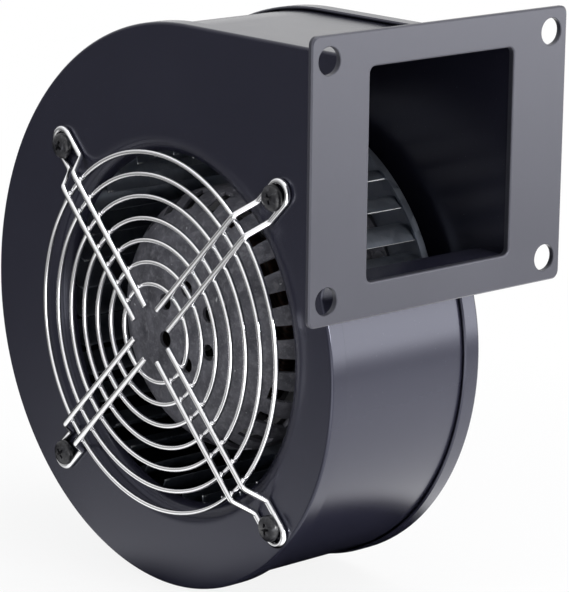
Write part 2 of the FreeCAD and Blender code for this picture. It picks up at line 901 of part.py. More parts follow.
PIECES = {
    "front_plate": make_front_plate,
    "scroll_strip": make_scroll_strip,
    "back_plate": make_back_plate,
    "outlet_flange": make_outlet_flange,
    "guard_rings": make_guard_rings,
    "guard_arms": make_guard_arms,
    "guard_screws": make_guard_screws,
    "guard_nuts": make_guard_nuts,
    "motor_bracket": make_motor_bracket,
    "bracket_screws": make_bracket_screws,
    "stator_core": make_stator_core,
    "stator_windings": make_stator_windings,
    "front_bearing_outer_ring": lambda: make_bearing_outer_ring(front_bearing_start),
    "rear_bearing_outer_ring": lambda: make_bearing_outer_ring(rear_bearing_start),
    "wave_washer": make_wave_washer,
    "bearing_cap": make_bearing_cap,
    "cable_grommet": make_cable_grommet,
    "rotor_bell": make_rotor_bell,
    "rotor_hub": make_rotor_hub,
    "rotor_shaft": make_rotor_shaft,
    "rotor_core": make_rotor_core,
    "rotor_end_rings": make_rotor_end_rings,
    "front_bearing_inner_ring": lambda: make_bearing_inner_ring(front_bearing_start),
    "rear_bearing_inner_ring": lambda: make_bearing_inner_ring(rear_bearing_start),
    "front_bearing_balls": lambda: make_bearing_balls(front_bearing_start),
    "rear_bearing_balls": lambda: make_bearing_balls(rear_bearing_start),
    "retaining_ring": make_retaining_ring,
    "impeller_disc": make_impeller_disc,
    "impeller_blades": make_impeller_blades,
    "impeller_front_ring": make_impeller_front_ring,
    "impeller_rivets": make_impeller_rivets,
}

os.makedirs("parts", exist_ok=True)
face_centre_y, face_centre_z = flange_centre()
to_part_origin = Vector(-outlet_reach - flange_thickness, -face_centre_y, -face_centre_z)
for node, make in PIECES.items():
    shape = make()
    shape.translate(to_part_origin)
    shape.exportStep("parts/" + node + ".step")
    print(node, len(shape.Solids), round(shape.Volume, 1), shape.isValid())
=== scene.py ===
import json
import math

import bmesh
import bpy
from mathutils import Matrix, Vector


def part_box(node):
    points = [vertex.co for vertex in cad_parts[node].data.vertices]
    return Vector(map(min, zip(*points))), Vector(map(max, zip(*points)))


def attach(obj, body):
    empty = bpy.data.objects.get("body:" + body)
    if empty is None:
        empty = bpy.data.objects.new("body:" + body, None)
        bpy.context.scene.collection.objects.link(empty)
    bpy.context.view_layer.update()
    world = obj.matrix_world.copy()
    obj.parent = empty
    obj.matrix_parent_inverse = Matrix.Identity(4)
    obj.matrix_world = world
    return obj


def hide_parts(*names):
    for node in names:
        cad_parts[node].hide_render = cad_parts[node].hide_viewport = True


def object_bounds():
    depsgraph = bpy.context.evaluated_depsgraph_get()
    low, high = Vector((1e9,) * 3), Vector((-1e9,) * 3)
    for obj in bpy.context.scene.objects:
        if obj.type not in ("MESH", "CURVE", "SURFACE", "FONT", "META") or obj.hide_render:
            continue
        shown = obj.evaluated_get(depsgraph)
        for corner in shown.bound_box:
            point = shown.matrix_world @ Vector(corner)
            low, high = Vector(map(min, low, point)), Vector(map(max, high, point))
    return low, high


# A small scroll fan in dark satin paint, with a bright wire guard over its inlet.
# Sizes are in millimetres in the axle's own frame: the axle runs along y through x = z = 0, and the
# front plate's outer face is y = 0. place() turns them into the part's frame, in metres.

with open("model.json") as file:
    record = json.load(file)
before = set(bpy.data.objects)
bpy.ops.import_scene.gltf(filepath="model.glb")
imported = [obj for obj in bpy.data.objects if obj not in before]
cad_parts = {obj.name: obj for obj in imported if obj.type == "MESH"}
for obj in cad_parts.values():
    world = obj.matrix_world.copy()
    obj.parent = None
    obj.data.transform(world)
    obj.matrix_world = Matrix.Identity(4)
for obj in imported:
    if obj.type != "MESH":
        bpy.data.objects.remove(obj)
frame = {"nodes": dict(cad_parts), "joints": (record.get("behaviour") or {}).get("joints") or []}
cad_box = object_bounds()
joint = frame["joints"][0]
AXLE_X = joint["pos_m"][0]
AXLE_Z = joint["pos_m"][2]
FACE_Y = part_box("front_plate")[0].y
MM = 0.001
# Edges sharper than this, in degrees, stay sharp in the shading
SHARP_ANGLE = 32.0

# Sheet casing
DEPTH = 62.6
SHEET = 0.8
RIM_WIDTH = 6.4
RIM_GAP = 0.6
RIM_BEND = 1.0
FOLD_CLEARANCE = 0.1
STRIP_RADIUS = 69.0
SCROLL_GROWTH_ACROSS = 11.0
SCROLL_GROWTH_UP = 4.8
SCROLL_SHIFT = 1.2
SCROLL_DROP = 0.9
OUTLET_REACH = 88.5
OUTLET_HEIGHT = 64.9
TONGUE_RADIUS = 7.5
INLET_RADIUS = 57.0
INLET_BEND = 6.5
RIM_IN = SHEET + RIM_GAP
RIM_OUT = RIM_IN + SHEET
BACK_INNER = DEPTH - SHEET

# Outlet flange
FLANGE_THICKNESS = 2.0
FLANGE_WIDTH = 105.0
FLANGE_HEIGHT = 86.0
FLANGE_CORNER = 2.5
FLANGE_HOLE = 4.2
HOLE_INSET_ACROSS = 6.8
HOLE_INSET_UP = 7.5
FLANGE_PITCH_ACROSS = FLANGE_WIDTH - 2 * HOLE_INSET_ACROSS
FLANGE_PITCH_UP = FLANGE_HEIGHT - 2 * HOLE_INSET_UP
OPENING_LIP_ACROSS = 0.85
OPENING_LIP_UP = 0.2
OPENING_WIDTH = DEPTH - 2 * SHEET - 2 * OPENING_LIP_ACROSS
OPENING_HEIGHT = OUTLET_HEIGHT - 2 * OPENING_LIP_UP
OPENING_CORNER = 2.1
OPENING_ROUNDING = 0.6
EDGE_BREAK = 0.45

# Guard
ARM_COUNT = 4
ARM_ANGLE = 45.0
RING_COUNT = 7
SMALLEST_RING = 15.9
LARGEST_RING = 58.2
RING_WIRE = 0.8
ARM_WIRE = 1.0
LEG_SIDE = 3.9
ARM_START = 8.0
STAND_OFF = 5.3
STEP_CLEARANCE = 1.5
STEP_START = LARGEST_RING + RING_WIRE + STEP_CLEARANCE
STEP_LENGTH = 6.0
STEP_BEND = 2.5
# The break on a wire's ends, as a share of its radius
WIRE_END_BREAK = 0.3
WELD_GAP = 0.02
WELD_RADIUS = 0.98
WELD_HALF_DEPTH = 0.62
SCREW_BEYOND_RINGS = 15.9
SCREW_CIRCLE = LARGEST_RING + SCREW_BEYOND_RINGS
LOOP_SLACK = 2.0

# Screws
SCREW_HOLE = 2.1
HEAD_RADIUS = 4.2
HEAD_HEIGHT = 2.4
HEAD_EDGE_SHARE = 0.18
SHANK_RADIUS = 2.0
SHANK_POINT = 0.6
SHANK_POINT_DRAFT = 0.5
# The cross recess: half its length and width, and the depth below the head's top
RECESS_MOUTH = (2.35, 0.52, -0.4)
RECESS_BOTTOM = (1.0, 0.38, 1.45)
GUARD_SCREW_LENGTH = 8.0
GUARD_SCREW_TURNS = (20, 65, 40, 5)
BRACKET_SCREW_LENGTH = 6.5
BRACKET_SCREW_TURNS = (10, 50, 75, 30)
BRACKET_SCREW_CIRCLE = 30.0
BRACKET_SCREW_COUNT = 4
BRACKET_SCREW_ANGLE = 45.0

# Motor's and cable's holes in the back plate
BOSS_HOLE = 17.05
CABLE_HOLE = 5.0
CABLE_PLACE = (24.0, 0.0)

# Wheel and rotor bell
WHEEL_RADIUS = 66.0
WHEEL_SHEET = 0.8
WHEEL_EDGE = 3.0
WHEEL_EDGE_ROUNDING = 0.6
# How far the middle of a rounded corner stands off each side, as a share of its radius
ARC_MIDDLE = 0.3
MOUTH_CLEARANCE = 0.9
BRACKET_FLANGE = 3.6
WHEEL_CLEARANCE = 1.6
WHEEL_FRONT = INLET_BEND + MOUTH_CLEARANCE
WHEEL_BACK = BACK_INNER - BRACKET_FLANGE - WHEEL_CLEARANCE
DISC_FRONT = WHEEL_BACK - WHEEL_SHEET
FRONT_RING_WIDTH = 6.0
BLADE_COUNT = 36
BLADE_THICKNESS = 0.5
BLADE_DEPTH = 10.5
BLADE_TIP_CLEARANCE = 0.4
BLADE_INNER = WHEEL_RADIUS - BLADE_DEPTH
BLADE_TIP = WHEEL_RADIUS - WHEEL_SHEET - BLADE_TIP_CLEARANCE
BLADE_LEAN = 8.2
BLADE_TURN = 88.0
BLADE_ANGLE = 7.9
BELL_SHEET = 1.2
BELL_RADIUS = 43.5
BELL_INNER = BELL_RADIUS - BELL_SHEET
BELL_FACE = 24.0
BELL_DOME = 20.0
BELL_FLANGE = 6.0
BELL_FLANGE_BEND = 0.8
BELL_EDGE = BELL_RADIUS + BELL_FLANGE
BELL_HOLE = 2.75
BELL_HOLE_CIRCLE = 12.5
BELL_HOLE_COUNT = 6
BELL_HOLE_ANGLE = 30.0
WINDOW_COUNT = 23
WINDOW_START = 5.5
WINDOW_LENGTH = 9.5
WINDOW_ANGLE = 6.9
WINDOW_WIDTH = math.pi * (BELL_FACE + BELL_RADIUS) / WINDOW_COUNT / 2
ROWS_BEFORE_WINDOW = 8
ROWS_BESIDE_WINDOW = 6
ROWS_AFTER_WINDOW = 3
# Where the bell's corners stand across a window, and from one window to the next, as shares
WINDOW_COLUMNS = (-1.0, -0.33, 0.33, 1.0)
BETWEEN_COLUMNS = (0.25, 0.5, 0.75)
RIVET_HOLE = 1.5
RIVET_CIRCLE = BELL_RADIUS + BELL_FLANGE / 2
RIVET_COUNT = 6
RIVET_ANGLE = 30.0

# Floor and surround
FLOOR_SIZE = 3.0
FLOOR_DROP = 0.0005
FLOOR_SHADE = 0.16
FLOOR_SHADE_REACH = 0.3
SURROUND_FILL = 0.35
DARK_SIDE = Vector((-0.70, -0.62, -0.35))
DARK_START = 0.35
DARK_LEVEL = 0.45
# Brightness of the floor in reflections, right and left of the fan, by distance in metres
RIGHT_FLOOR = [
    (0.0, 0.0), (0.069, 0.0), (0.079, 0.8), (0.2, 0.8),
    (0.4, 0.62), (0.5, 0.3), (0.85, 0.65), (1.5, 0.9),
]
LEFT_FLOOR = [
    (0.0, 0.0), (0.035, 0.0), (0.055, 0.5), (0.1, 0.4),
    (0.2, 0.24), (0.35, 0.12), (0.6, 0.07), (1.5, 0.06),
]
RAMP_REACH = 1.5
FLOOR_GLOW = 2.5
RIGHT_SIDE = (0.73, 0.64, 0.0)
SIDE_BLEND = 8.0
# A bright card toward the front right, and the edge of the left floor, by how well a heading fits
FRONT_CARD = (0.66, -0.75, 0.0)
FRONT_CARD_FIT = 0.86
FRONT_CARD_START = 0.15
FRONT_CARD_GLOW = 2.2
LEFT_CARD = (-0.48, -0.88, 0.0)
LEFT_CARD_FIT = 0.75

# The photo's camera: a long lens, to the right of the inlet and a little above it
CAMERA_AZIMUTH = 48.57
CAMERA_ELEVATION = 13.89
CAMERA_ROLL = 0.662
CAMERA_EYE = (717.0, -583.6, 240.3)
IMAGE_HEIGHT = 592.0
FOCAL_PIXELS = 2988.5
FILM_WIDTH = 36.0


def place(x, y, z):
    """A point in the axle's frame, in millimetres, as a point of the part in metres."""
    return Vector((AXLE_X + x * MM, FACE_Y + y * MM, AXLE_Z + z * MM))


def arc_points(centre, radius, start, end, steps, first=True):
    """Points (x, z) along an arc; first says whether its first point is kept."""
    points = []
    for index in range(0 if first else 1, steps + 1):
        turn = math.radians(start + (end - start) * index / steps)
        points.append((centre[0] + radius * math.cos(turn), centre[1] + radius * math.sin(turn)))
    return points


def circle_points(radius, steps, centre=(0.0, 0.0), first_angle=0.0):
    return arc_points(centre, radius, first_angle, first_angle + 360.0, steps)[:-1]


def scroll_path(offset):
    """The casing strip's line, moved outward by offset, from the outlet's top to its floor."""
    near = SCROLL_SHIFT + SCROLL_GROWTH_ACROSS / 2
    far = SCROLL_SHIFT - SCROLL_GROWTH_ACROSS / 2
    upper = -SCROLL_DROP + SCROLL_GROWTH_UP / 2
    lower = -SCROLL_DROP - SCROLL_GROWTH_UP / 2
    first = STRIP_RADIUS + offset
    second = first + SCROLL_GROWTH_ACROSS
    third = second + SCROLL_GROWTH_UP
    fourth = third + SCROLL_GROWTH_ACROSS
    floor, top = duct_heights()
    tongue_z = floor - TONGUE_RADIUS
    rise = tongue_z - lower
    run = math.sqrt((STRIP_RADIUS + TONGUE_RADIUS) ** 2 - rise ** 2)
    tongue_angle = math.degrees(math.atan2(rise, run))
    points = [(OUTLET_REACH, top + offset)]
    points += arc_points((near, upper), fourth, 90, 180, 48)
    points += arc_points((far, upper), third, 180, 270, 48, False)
    points += arc_points((far, lower), second, 270, 360, 44, False)
    points += arc_points((near, lower), first, 0, tongue_angle, 12, False)
    points += arc_points((near + run, tongue_z), TONGUE_RADIUS - offset, 180 + tongue_angle, 90, 16, False)
    points.append((OUTLET_REACH, floor - offset))
    return points


def duct_heights():
    """Lowest and highest point of the outlet's inside."""
    upper = -SCROLL_DROP + SCROLL_GROWTH_UP / 2
    top = upper + STRIP_RADIUS + 2 * SCROLL_GROWTH_ACROSS + SCROLL_GROWTH_UP
    return top - OUTLET_HEIGHT, top


def duct_middle():
    """Height of the outlet's centre above the axle."""
    return sum(duct_heights()) / 2


def quarter_turns(steps):
    """Angles from nothing to a right angle, in radians."""
    return [math.pi / 2 * index / steps for index in range(steps + 1)]


def turned(x, z, degrees):
    """A point (x, z) turned about the axle."""
    turn = math.radians(degrees)
    return x * math.cos(turn) - z * math.sin(turn), x * math.sin(turn) + z * math.cos(turn)


def ring_places(radius, count, first_angle=0.0):
    """Points (x, z) evenly spaced on a circle about the axle."""
    return circle_points(radius, count, (0.0, 0.0), first_angle)


def corner_places():
    """The guard's four screw places."""
    return ring_places(SCREW_CIRCLE, ARM_COUNT, ARM_ANGLE)


def rivet_places():
    """The places of the rivets that join the disc to the bell."""
    return ring_places(RIVET_CIRCLE, RIVET_COUNT, RIVET_ANGLE)


def bracket_places():
    """The four screw places in the back plate."""
    return ring_places(BRACKET_SCREW_CIRCLE, BRACKET_SCREW_COUNT, BRACKET_SCREW_ANGLE)


def add_object(name, data):
    """A new object of the scene."""
    thing = bpy.data.objects.new(name, data)
    bpy.context.scene.collection.objects.link(thing)
    return thing


class Sheet:
    """Collects faces in the axle's frame, then becomes one named piece of the part."""

    def __init__(self):
        self.mesh = bmesh.new()

    def loop(self, points, y):
        """New corners at depth y from a list of (x, z)."""
        return [self.mesh.verts.new(place(x, y, z)) for x, z in points]

    def corners(self, points):
        """New corners from a list of (x, y, z)."""
        return [self.mesh.verts.new(place(*point)) for point in points]

    def band(self, one, other, closed=True):
        """Quads between two loops of equal length."""
        count = len(one)
        for index in range(count if closed else count - 1):
            after = (index + 1) % count
            self.mesh.faces.new((one[index], one[after], other[after], other[index]))

    def bands(self, loops, closed=True):
        """Quads between each loop and the next."""
        for one, other in zip(loops, loops[1:]):
            self.band(one, other, closed)

    def cap(self, loop):
        self.mesh.faces.new(loop)

    def fill(self, loops):
        """One flat face inside the first loop, with the others as holes."""
        edges = []
        for loop in loops:
            for start, end in zip(loop, loop[1:] + loop[:1]):
                edge = self.mesh.edges.get((start, end))
                edges.append(edge or self.mesh.edges.new((start, end)))
        bmesh.ops.triangle_fill(self.mesh, use_beauty=True, edges=edges)

    def data(self, name):
        """The faces as a mesh, all of them facing outward."""
        bmesh.ops.recalc_face_normals(self.mesh, faces=self.mesh.faces)
        data = bpy.data.meshes.new(name)
        self.mesh.to_mesh(data)
        self.mesh.free()
        return data

    def piece(self, name, material, body, stands_for=(), sharp_angle=SHARP_ANGLE):
        return finish_piece(name, self.data(name), material, body, stands_for, sharp_angle)


def finish_piece(name, data, material, body, stands_for=(), sharp_angle=SHARP_ANGLE):
    """Shades a mesh, gives it its material and lets it ride on its body."""
    data.shade_smooth()
    data.set_sharp_from_angle(angle=math.radians(sharp_angle))
    thing = add_object(name, data)
    weights = thing.modifiers.new("face weights", "WEIGHTED_NORMAL")
    weights.keep_sharp = True
    thing.data.materials.append(material)
    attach(thing, body)
    if stands_for:
        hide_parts(*stands_for)
    return thing


# Shader nodes

class Value:
    """A socket that can be added, multiplied and compared like a number."""

    def __init__(self, paint, socket):
        self.paint = paint
        self.socket = socket

    def maths(self, operation, other, swapped=False):
        pair = (other, self) if swapped else (self, other)
        return self.paint.node("ShaderNodeMath", {"operation": operation}, {0: pair[0], 1: pair[1]})

    def __add__(self, other):
        return self.maths("ADD", other)

    def __sub__(self, other):
        return self.maths("SUBTRACT", other)

    def __mul__(self, other):
        return self.maths("MULTIPLY", other)

    def __gt__(self, other):
        return self.maths("GREATER_THAN", other)

    def __rsub__(self, other):
        return self.maths("SUBTRACT", other, True)

    __radd__ = __add__
    __rmul__ = __mul__

    def clamp(self):
        return self.paint.node("ShaderNodeClamp", {}, {"Value": self})


class Nodes:
    """A node tree being built; every node comes from node()."""

    def __init__(self, tree):
        self.tree = tree

    def node(self, kind, settings, inputs, output=0):
        """Any node: its settings first, then the values or links of its sockets."""
        made = self.tree.nodes.new(kind)
        for key, value in settings.items():
            if key == "stops":
                set_stops(made.color_ramp, value)
            else:
                setattr(made, key, value)
        for key, value in inputs.items():
            if isinstance(value, Value):
                self.tree.links.new(value.socket, made.inputs[key])
            else:
                made.inputs[key].default_value = value
        return None if output is None else Value(self, made.outputs[output])

    def vector(self, operation, one, other=(0.0, 0.0, 0.0), output=0):
        return self.node("ShaderNodeVectorMath", {"operation": operation}, {0: one, 1: other}, output)

    def ray(self, kind):
        """1 where a ray of one kind arrives, else 0."""
        return self.node("ShaderNodeLightPath", {}, {}, kind)

    def where(self):
        """The point of the object, in metres, in the part's frame."""
        return self.node("ShaderNodeTexCoord", {}, {}, "Object")

    def distance(self, centre, directions):
        """Distance of the point from a centre in metres, counted only along some directions."""
        apart = self.vector("MULTIPLY", self.vector("SUBTRACT", self.where(), centre), directions)
        return self.vector("LENGTH", apart, output="Value")

    def from_axle(self):
        return self.distance((AXLE_X, FACE_Y, AXLE_Z), (1.0, 0.0, 1.0))

    def from_front(self):
        """Distance of the point behind the front ends of the blades, in metres."""
        depth = self.node("ShaderNodeSeparateXYZ", {}, {0: self.where()}, "Y")
        return depth - (FACE_Y + (WHEEL_FRONT + WHEEL_SHEET) * MM)

    def noise(self, scale, detail=3.0, roughness=0.5, stretch=None):
        point = self.where()
        if stretch:
            point = self.vector("MULTIPLY", point, stretch)
        inputs = {"Vector": point, "Scale": scale, "Detail": detail, "Roughness": roughness}
        return self.node("ShaderNodeTexNoise", {}, inputs)

    def waves(self, settings, scale, distortion):
        inputs = {"Vector": self.where(), "Scale": scale, "Distortion": distortion}
        return self.node("ShaderNodeTexWave", settings, inputs, "Fac")

    def ramp(self, value, stops):
        """Grey levels along a value, as (value, level) stops."""
        return self.node("ShaderNodeValToRGB", {"stops": stops}, {"Fac": value})

    def mix(self, factor, one, other):
        """Two colours mixed."""
        return self.node("ShaderNodeMix", {"data_type": "RGBA"}, {0: factor, 6: one, 7: other}, 2)


class Paint(Nodes):
    """A material being made: its node tree and its shader."""

    def __init__(self, name, **fixed):
        self.material = bpy.data.materials.new(name)
        self.material.use_nodes = True
        super().__init__(self.material.node_tree)
        self.shader = self.tree.nodes["Principled BSDF"]
        for socket, value in fixed.items():
            self.shader.inputs[socket.replace("_", " ")].default_value = value

    def feed(self, **links):
        for socket, value in links.items():
            self.tree.links.new(value.socket, self.shader.inputs[socket.replace("_", " ")])
        return self.material

    def finish(self, colour, roughness, relief, strength, distance):
        """Colour, roughness and a fine relief, which end a finish."""
        inputs = {"Height": relief, "Strength": strength, "Distance": distance}
        bump = self.node("ShaderNodeBump", {}, inputs)
        return self.feed(Base_Color=colour, Roughness=roughness, Normal=bump)


def set_stops(ramp, stops):
    """A ramp's stops as (place, grey or colour)."""
    while len(ramp.elements) < len(stops):
        ramp.elements.new(0.5)
    for element, (position, colour) in zip(ramp.elements, stops):
        element.position = position
        element.color = colour if isinstance(colour, tuple) else (colour, colour, colour, 1.0)


def rgb(red, green, blue):
    return (red, green, blue, 1.0)


def satin_paint(name, dark, light, roughness, level, tint, peel_depth):
    """Dark stoved paint: a faint orange peel, soft cloudiness and a few pale specks of dust."""
    paint = Paint(name, IOR=1.5, Specular_IOR_Level=level, Specular_Tint=tint)
    clouds = paint.noise(22.0, 4.0, 0.6)
    fine = paint.noise(900.0, 2.0, 0.5)
    peel = paint.noise(420.0, 2.0, 0.5)
    specks = paint.noise(2600.0, 1.0, 0.4)
    dust = ((specks - 0.78) * 9.0).clamp()
    colour = paint.mix(clouds, dark, light)
    colour = paint.mix(dust * 0.35, colour, rgb(0.32, 0.32, 0.33))
    rough = roughness + (clouds - 0.5) * 0.08 + (fine - 0.5) * 0.03 + dust * 0.2
    return paint.finish(colour, rough, peel, peel_depth, 0.0002)


def bright_chrome():
    """Plated wire: bright, with faint drawing marks and a little haze."""
    paint = Paint("bright_chrome", Metallic=1.0)
    drawn = paint.noise(260.0, 3.0, 0.6)
    fine = paint.noise(1800.0, 2.0, 0.5)
    colour = paint.mix(drawn, rgb(0.86, 0.86, 0.88), rgb(0.97, 0.97, 0.98))
    rough = 0.13 + (drawn - 0.5) * 0.12 + (fine - 0.5) * 0.08
    return paint.finish(colour, rough, fine, 0.1, 0.0001)


def black_screw_finish():
    paint = Paint("black_screw_finish", IOR=1.5)
    worn = paint.noise(700.0, 3.0, 0.6)
    colour = paint.mix(((worn - 0.55) * 4.0).clamp(), rgb(0.015, 0.015, 0.018), rgb(0.10, 0.10, 0.11))
    rough = 0.3 + (worn - 0.5) * 0.25
    return paint.finish(colour, rough, worn, 0.15, 0.0001)


def dusty_bell_finish():
    """Grey rotor steel with mottled dust and a few bright specks."""
    paint = Paint("dusty_bell_finish", IOR=1.5, Specular_IOR_Level=0.3)
    mottle = paint.noise(140.0, 6.0, 0.7)
    blotch = paint.noise(420.0, 4.0, 0.65)
    grain = paint.noise(1500.0, 3.0, 0.6)
    spots = paint.noise(520.0, 1.0, 0.4)
    bright = ((spots - 0.76) * 16.0).clamp()
    colour = paint.mix(((mottle - 0.3) * 2.4).clamp(), rgb(0.041, 0.041, 0.050), rgb(0.118, 0.117, 0.135))
    colour = paint.mix(((blotch - 0.5) * 3.0).clamp(), colour, rgb(0.21, 0.207, 0.226))
    colour = paint.mix(bright, colour, rgb(0.42, 0.42, 0.43))
    colour = paint.mix(((grain - 0.52) * 1.6).clamp(), colour, rgb(0.2, 0.2, 0.22))
    rough = 0.5 + (mottle - 0.5) * 0.3
    return paint.finish(colour, rough, grain, 0.25, 0.0002)


def galvanised_sheet():
    """Zinc-coated sheet, bluish and rolled, with a painted highlight in near-white on the front of the
    blades' inner ends.
    """
    paint = Paint("galvanised_sheet", Metallic=0.85)
    spangle = paint.node(
        "ShaderNodeTexVoronoi", {"feature": "F1"}, {"Vector": paint.where(), "Scale": 190.0}, "Color"
    )
    tint = paint.node("ShaderNodeRGBToBW", {}, {"Color": spangle})
    rolled = paint.noise(60.0, 4.0, 0.6, (1.0, 14.0, 1.0))
    radius = paint.from_axle()
    # Painted highlight: the front of each blade's inner end is coloured near-white and made a little
    # smoother, standing in for the glint of light there.
    heel = (((BLADE_INNER + 0.5) * MM - radius) * 8000.0).clamp()
    heel = heel * (radius > (BLADE_INNER - 0.6) * MM) * ((2.2 * MM - paint.from_front()) * 900.0).clamp()
    colour = paint.mix(tint, rgb(0.20, 0.22, 0.265), rgb(0.31, 0.335, 0.385))
    colour = paint.mix(rolled * 0.5, colour, rgb(0.13, 0.148, 0.18))
    colour = paint.mix(heel, colour, rgb(0.85, 0.86, 0.88))
    rough = 0.36 + (tint - 0.5) * 0.16 + (rolled - 0.5) * 0.15 - heel * 0.08
    return paint.finish(colour, rough, rolled, 0.1, 0.0002)


def cast_aluminium():
    paint = Paint("cast_aluminium", Metallic=0.9)
    skin = paint.noise(900.0, 4.0, 0.6)
    stain = paint.noise(60.0, 3.0, 0.5)
    colour = paint.mix(stain, rgb(0.34, 0.34, 0.36), rgb(0.5, 0.5, 0.52))
    rough = 0.5 + (skin - 0.5) * 0.2
    return paint.finish(colour, rough, skin, 0.35, 0.0003)


def plated_steel(name, dark, light, roughness, metallic=1.0):
    paint = Paint(name, Metallic=metallic)
    brushed = paint.noise(350.0, 3.0, 0.5, (1.0, 0.15, 1.0))
    colour = paint.mix(brushed, dark, light)
    rough = roughness + (brushed - 0.5) * 0.15
    return paint.finish(colour, rough, brushed, 0.08, 0.0001)


def stacked_steel():
    """Thin laminations: fine lines across the axle."""
    paint = Paint("stacked_steel", Metallic=0.7)
    lines = paint.waves({"wave_type": "BANDS", "bands_direction": "Y"}, 300.0, 0.4)
    colour = paint.mix(lines, rgb(0.03, 0.03, 0.034), rgb(0.10, 0.10, 0.11))
    rough = 0.5 + lines * 0.2
    return paint.finish(colour, rough, lines, 0.3, 0.0001)


def wound_copper_painted_shade():
    """Varnished copper wire, its colour darkened almost to black as painted shade inside the bell."""
    paint = Paint("wound_copper_painted_shade", Metallic=0.5)
    strands = paint.waves({"wave_type": "RINGS", "rings_direction": "Y"}, 260.0, 1.5)
    # Painted shade: the copper's colour is kept near black, for the shadow it lies in behind the bell's
    # windows.
    colour = paint.mix(strands, rgb(0.008, 0.005, 0.004), rgb(0.045, 0.020, 0.011))
    rough = 0.4 + strands * 0.2
    return paint.finish(colour, rough, strands, 0.4, 0.0002)


def black_rubber():
    paint = Paint("black_rubber", IOR=1.5, Specular_IOR_Level=0.3)
    grain = paint.noise(1200.0, 3.0, 0.6)
    colour = paint.mix(grain, rgb(0.01, 0.01, 0.011), rgb(0.032, 0.032, 0.034))
    rough = 0.62 + (grain - 0.5) * 0.2
    return paint.finish(colour, rough, grain, 0.2, 0.0001)


BLUISH = rgb(0.82, 0.84, 1.0)
PALE_BLUISH = rgb(0.88, 0.89, 1.0)
CASING_PAINT = satin_paint(
    "casing_paint", rgb(0.012, 0.012, 0.021), rgb(0.017, 0.017, 0.028), 0.22, 0.5, BLUISH, 0.025
)
# The flange has the casing's own paint. Its lighter colour here is painted light, a lit copy of that paint
# with a rougher gloss.
LIT_FLANGE_PAINT = satin_paint(
    "flange_paint", rgb(0.030, 0.030, 0.038), rgb(0.040, 0.040, 0.050), 0.36, 0.45, PALE_BLUISH, 0.08
)
CHROME = bright_chrome()
BLACK_SCREW = black_screw_finish()
BELL_FINISH = dusty_bell_finish()
GALVANISED = galvanised_sheet()
CAST = cast_aluminium()
# Bare cut steel at the blades' outer ends, coloured near-white as a painted glint of light along the edges.
CUT_EDGE_GLINT = plated_steel("cut_edge_painted_glint", rgb(0.90, 0.90, 0.91), rgb(0.97, 0.97, 0.98), 0.3, 0.2)
ZINC = plated_steel("zinc_plate", rgb(0.42, 0.43, 0.45), rgb(0.62, 0.63, 0.65), 0.3)
BEARING_STEEL = plated_steel("bearing_steel", rgb(0.5, 0.5, 0.52), rgb(0.7, 0.7, 0.72), 0.2)
SPRING_STEEL = plated_steel("spring_steel", rgb(0.22, 0.22, 0.24), rgb(0.38, 0.38, 0.4), 0.3)
STACKED = stacked_steel()
SHADED_COPPER = wound_copper_painted_shade()
RUBBER = black_rubber()


# Casing

def rim_section(face, step):
    """Corners (offset, y) of a side sheet's turned rim, from its face round to its inner corner."""
    points = []
    for turn in quarter_turns(4):
        out = RIM_OUT - RIM_BEND + RIM_BEND * math.sin(turn)
        points.append((out, face + step * (RIM_BEND - RIM_BEND * math.cos(turn))))
    points.append((RIM_OUT, face + step * (RIM_WIDTH - EDGE_BREAK)))
    points.append((RIM_OUT - EDGE_BREAK, face + step * RIM_WIDTH))
    points.append((RIM_IN, face + step * RIM_WIDTH))
    points.append((RIM_IN, face + step * SHEET))
    return points


def side_sheet(sheet, face, step):
    """The rim and the outlet end of a side sheet; gives the outlines of its two flat faces."""
    section = rim_section(face, step)
    loops = [sheet.loop(scroll_path(offset), y) for offset, y in section]
    sheet.bands(loops, closed=False)
    end = [loop[0] for loop in loops] + [loop[-1] for loop in reversed(loops)]
    sheet.cap(end)
    return loops[0], loops[-1]


def bell_mouth_loops(sheet, steps):
    """Circles from the front face over the rounded lip to the sheet's back face."""
    middle = INLET_RADIUS + INLET_BEND
    inner_bend = INLET_BEND - SHEET
    section = []
    for turn in reversed(quarter_turns(10)):
        section.append((middle - INLET_BEND * math.cos(turn), INLET_BEND - INLET_BEND * math.sin(turn)))
    for turn in quarter_turns(8):
        section.append((middle - inner_bend * math.cos(turn), INLET_BEND - inner_bend * math.sin(turn)))
    loops = [sheet.loop(circle_points(radius, steps), y) for radius, y in section]
    sheet.bands(loops)
    return loops[0], loops[-1]


def holes_through(sheet, places, radius, front, back, steps=32):
    """Round holes between two flat faces; gives their loops on each face."""
    fronts = []
    backs = []
    for centre in places:
        near = sheet.loop(circle_points(radius, steps, centre), front)
        far = sheet.loop(circle_points(radius, steps, centre), back)
        sheet.band(near, far)
        fronts.append(near)
        backs.append(far)
    return fronts, backs


def front_plate():
    sheet = Sheet()
    face, inside = side_sheet(sheet, 0.0, 1.0)
    mouth, mouth_back = bell_mouth_loops(sheet, 144)
    near, far = holes_through(sheet, corner_places(), SCREW_HOLE, 0.0, SHEET)
    sheet.fill([face, mouth] + near)
    sheet.fill([inside, mouth_back] + far)
    return sheet.piece("front_plate_sheet", CASING_PAINT, "casing", ["front_plate"])


def back_plate():
    sheet = Sheet()
    face, inside = side_sheet(sheet, DEPTH, -1.0)
    boss_near, boss_far = holes_through(sheet, [(0.0, 0.0)], BOSS_HOLE, DEPTH, BACK_INNER, 64)
    near, far = holes_through(sheet, bracket_places(), SCREW_HOLE, DEPTH, BACK_INNER)
    cable_near, cable_far = holes_through(sheet, [CABLE_PLACE], CABLE_HOLE, DEPTH, BACK_INNER)
    sheet.fill([face] + boss_near + near + cable_near)
    sheet.fill([inside] + boss_far + far + cable_far)
    return sheet.piece("back_plate_sheet", CASING_PAINT, "casing", ["back_plate"])


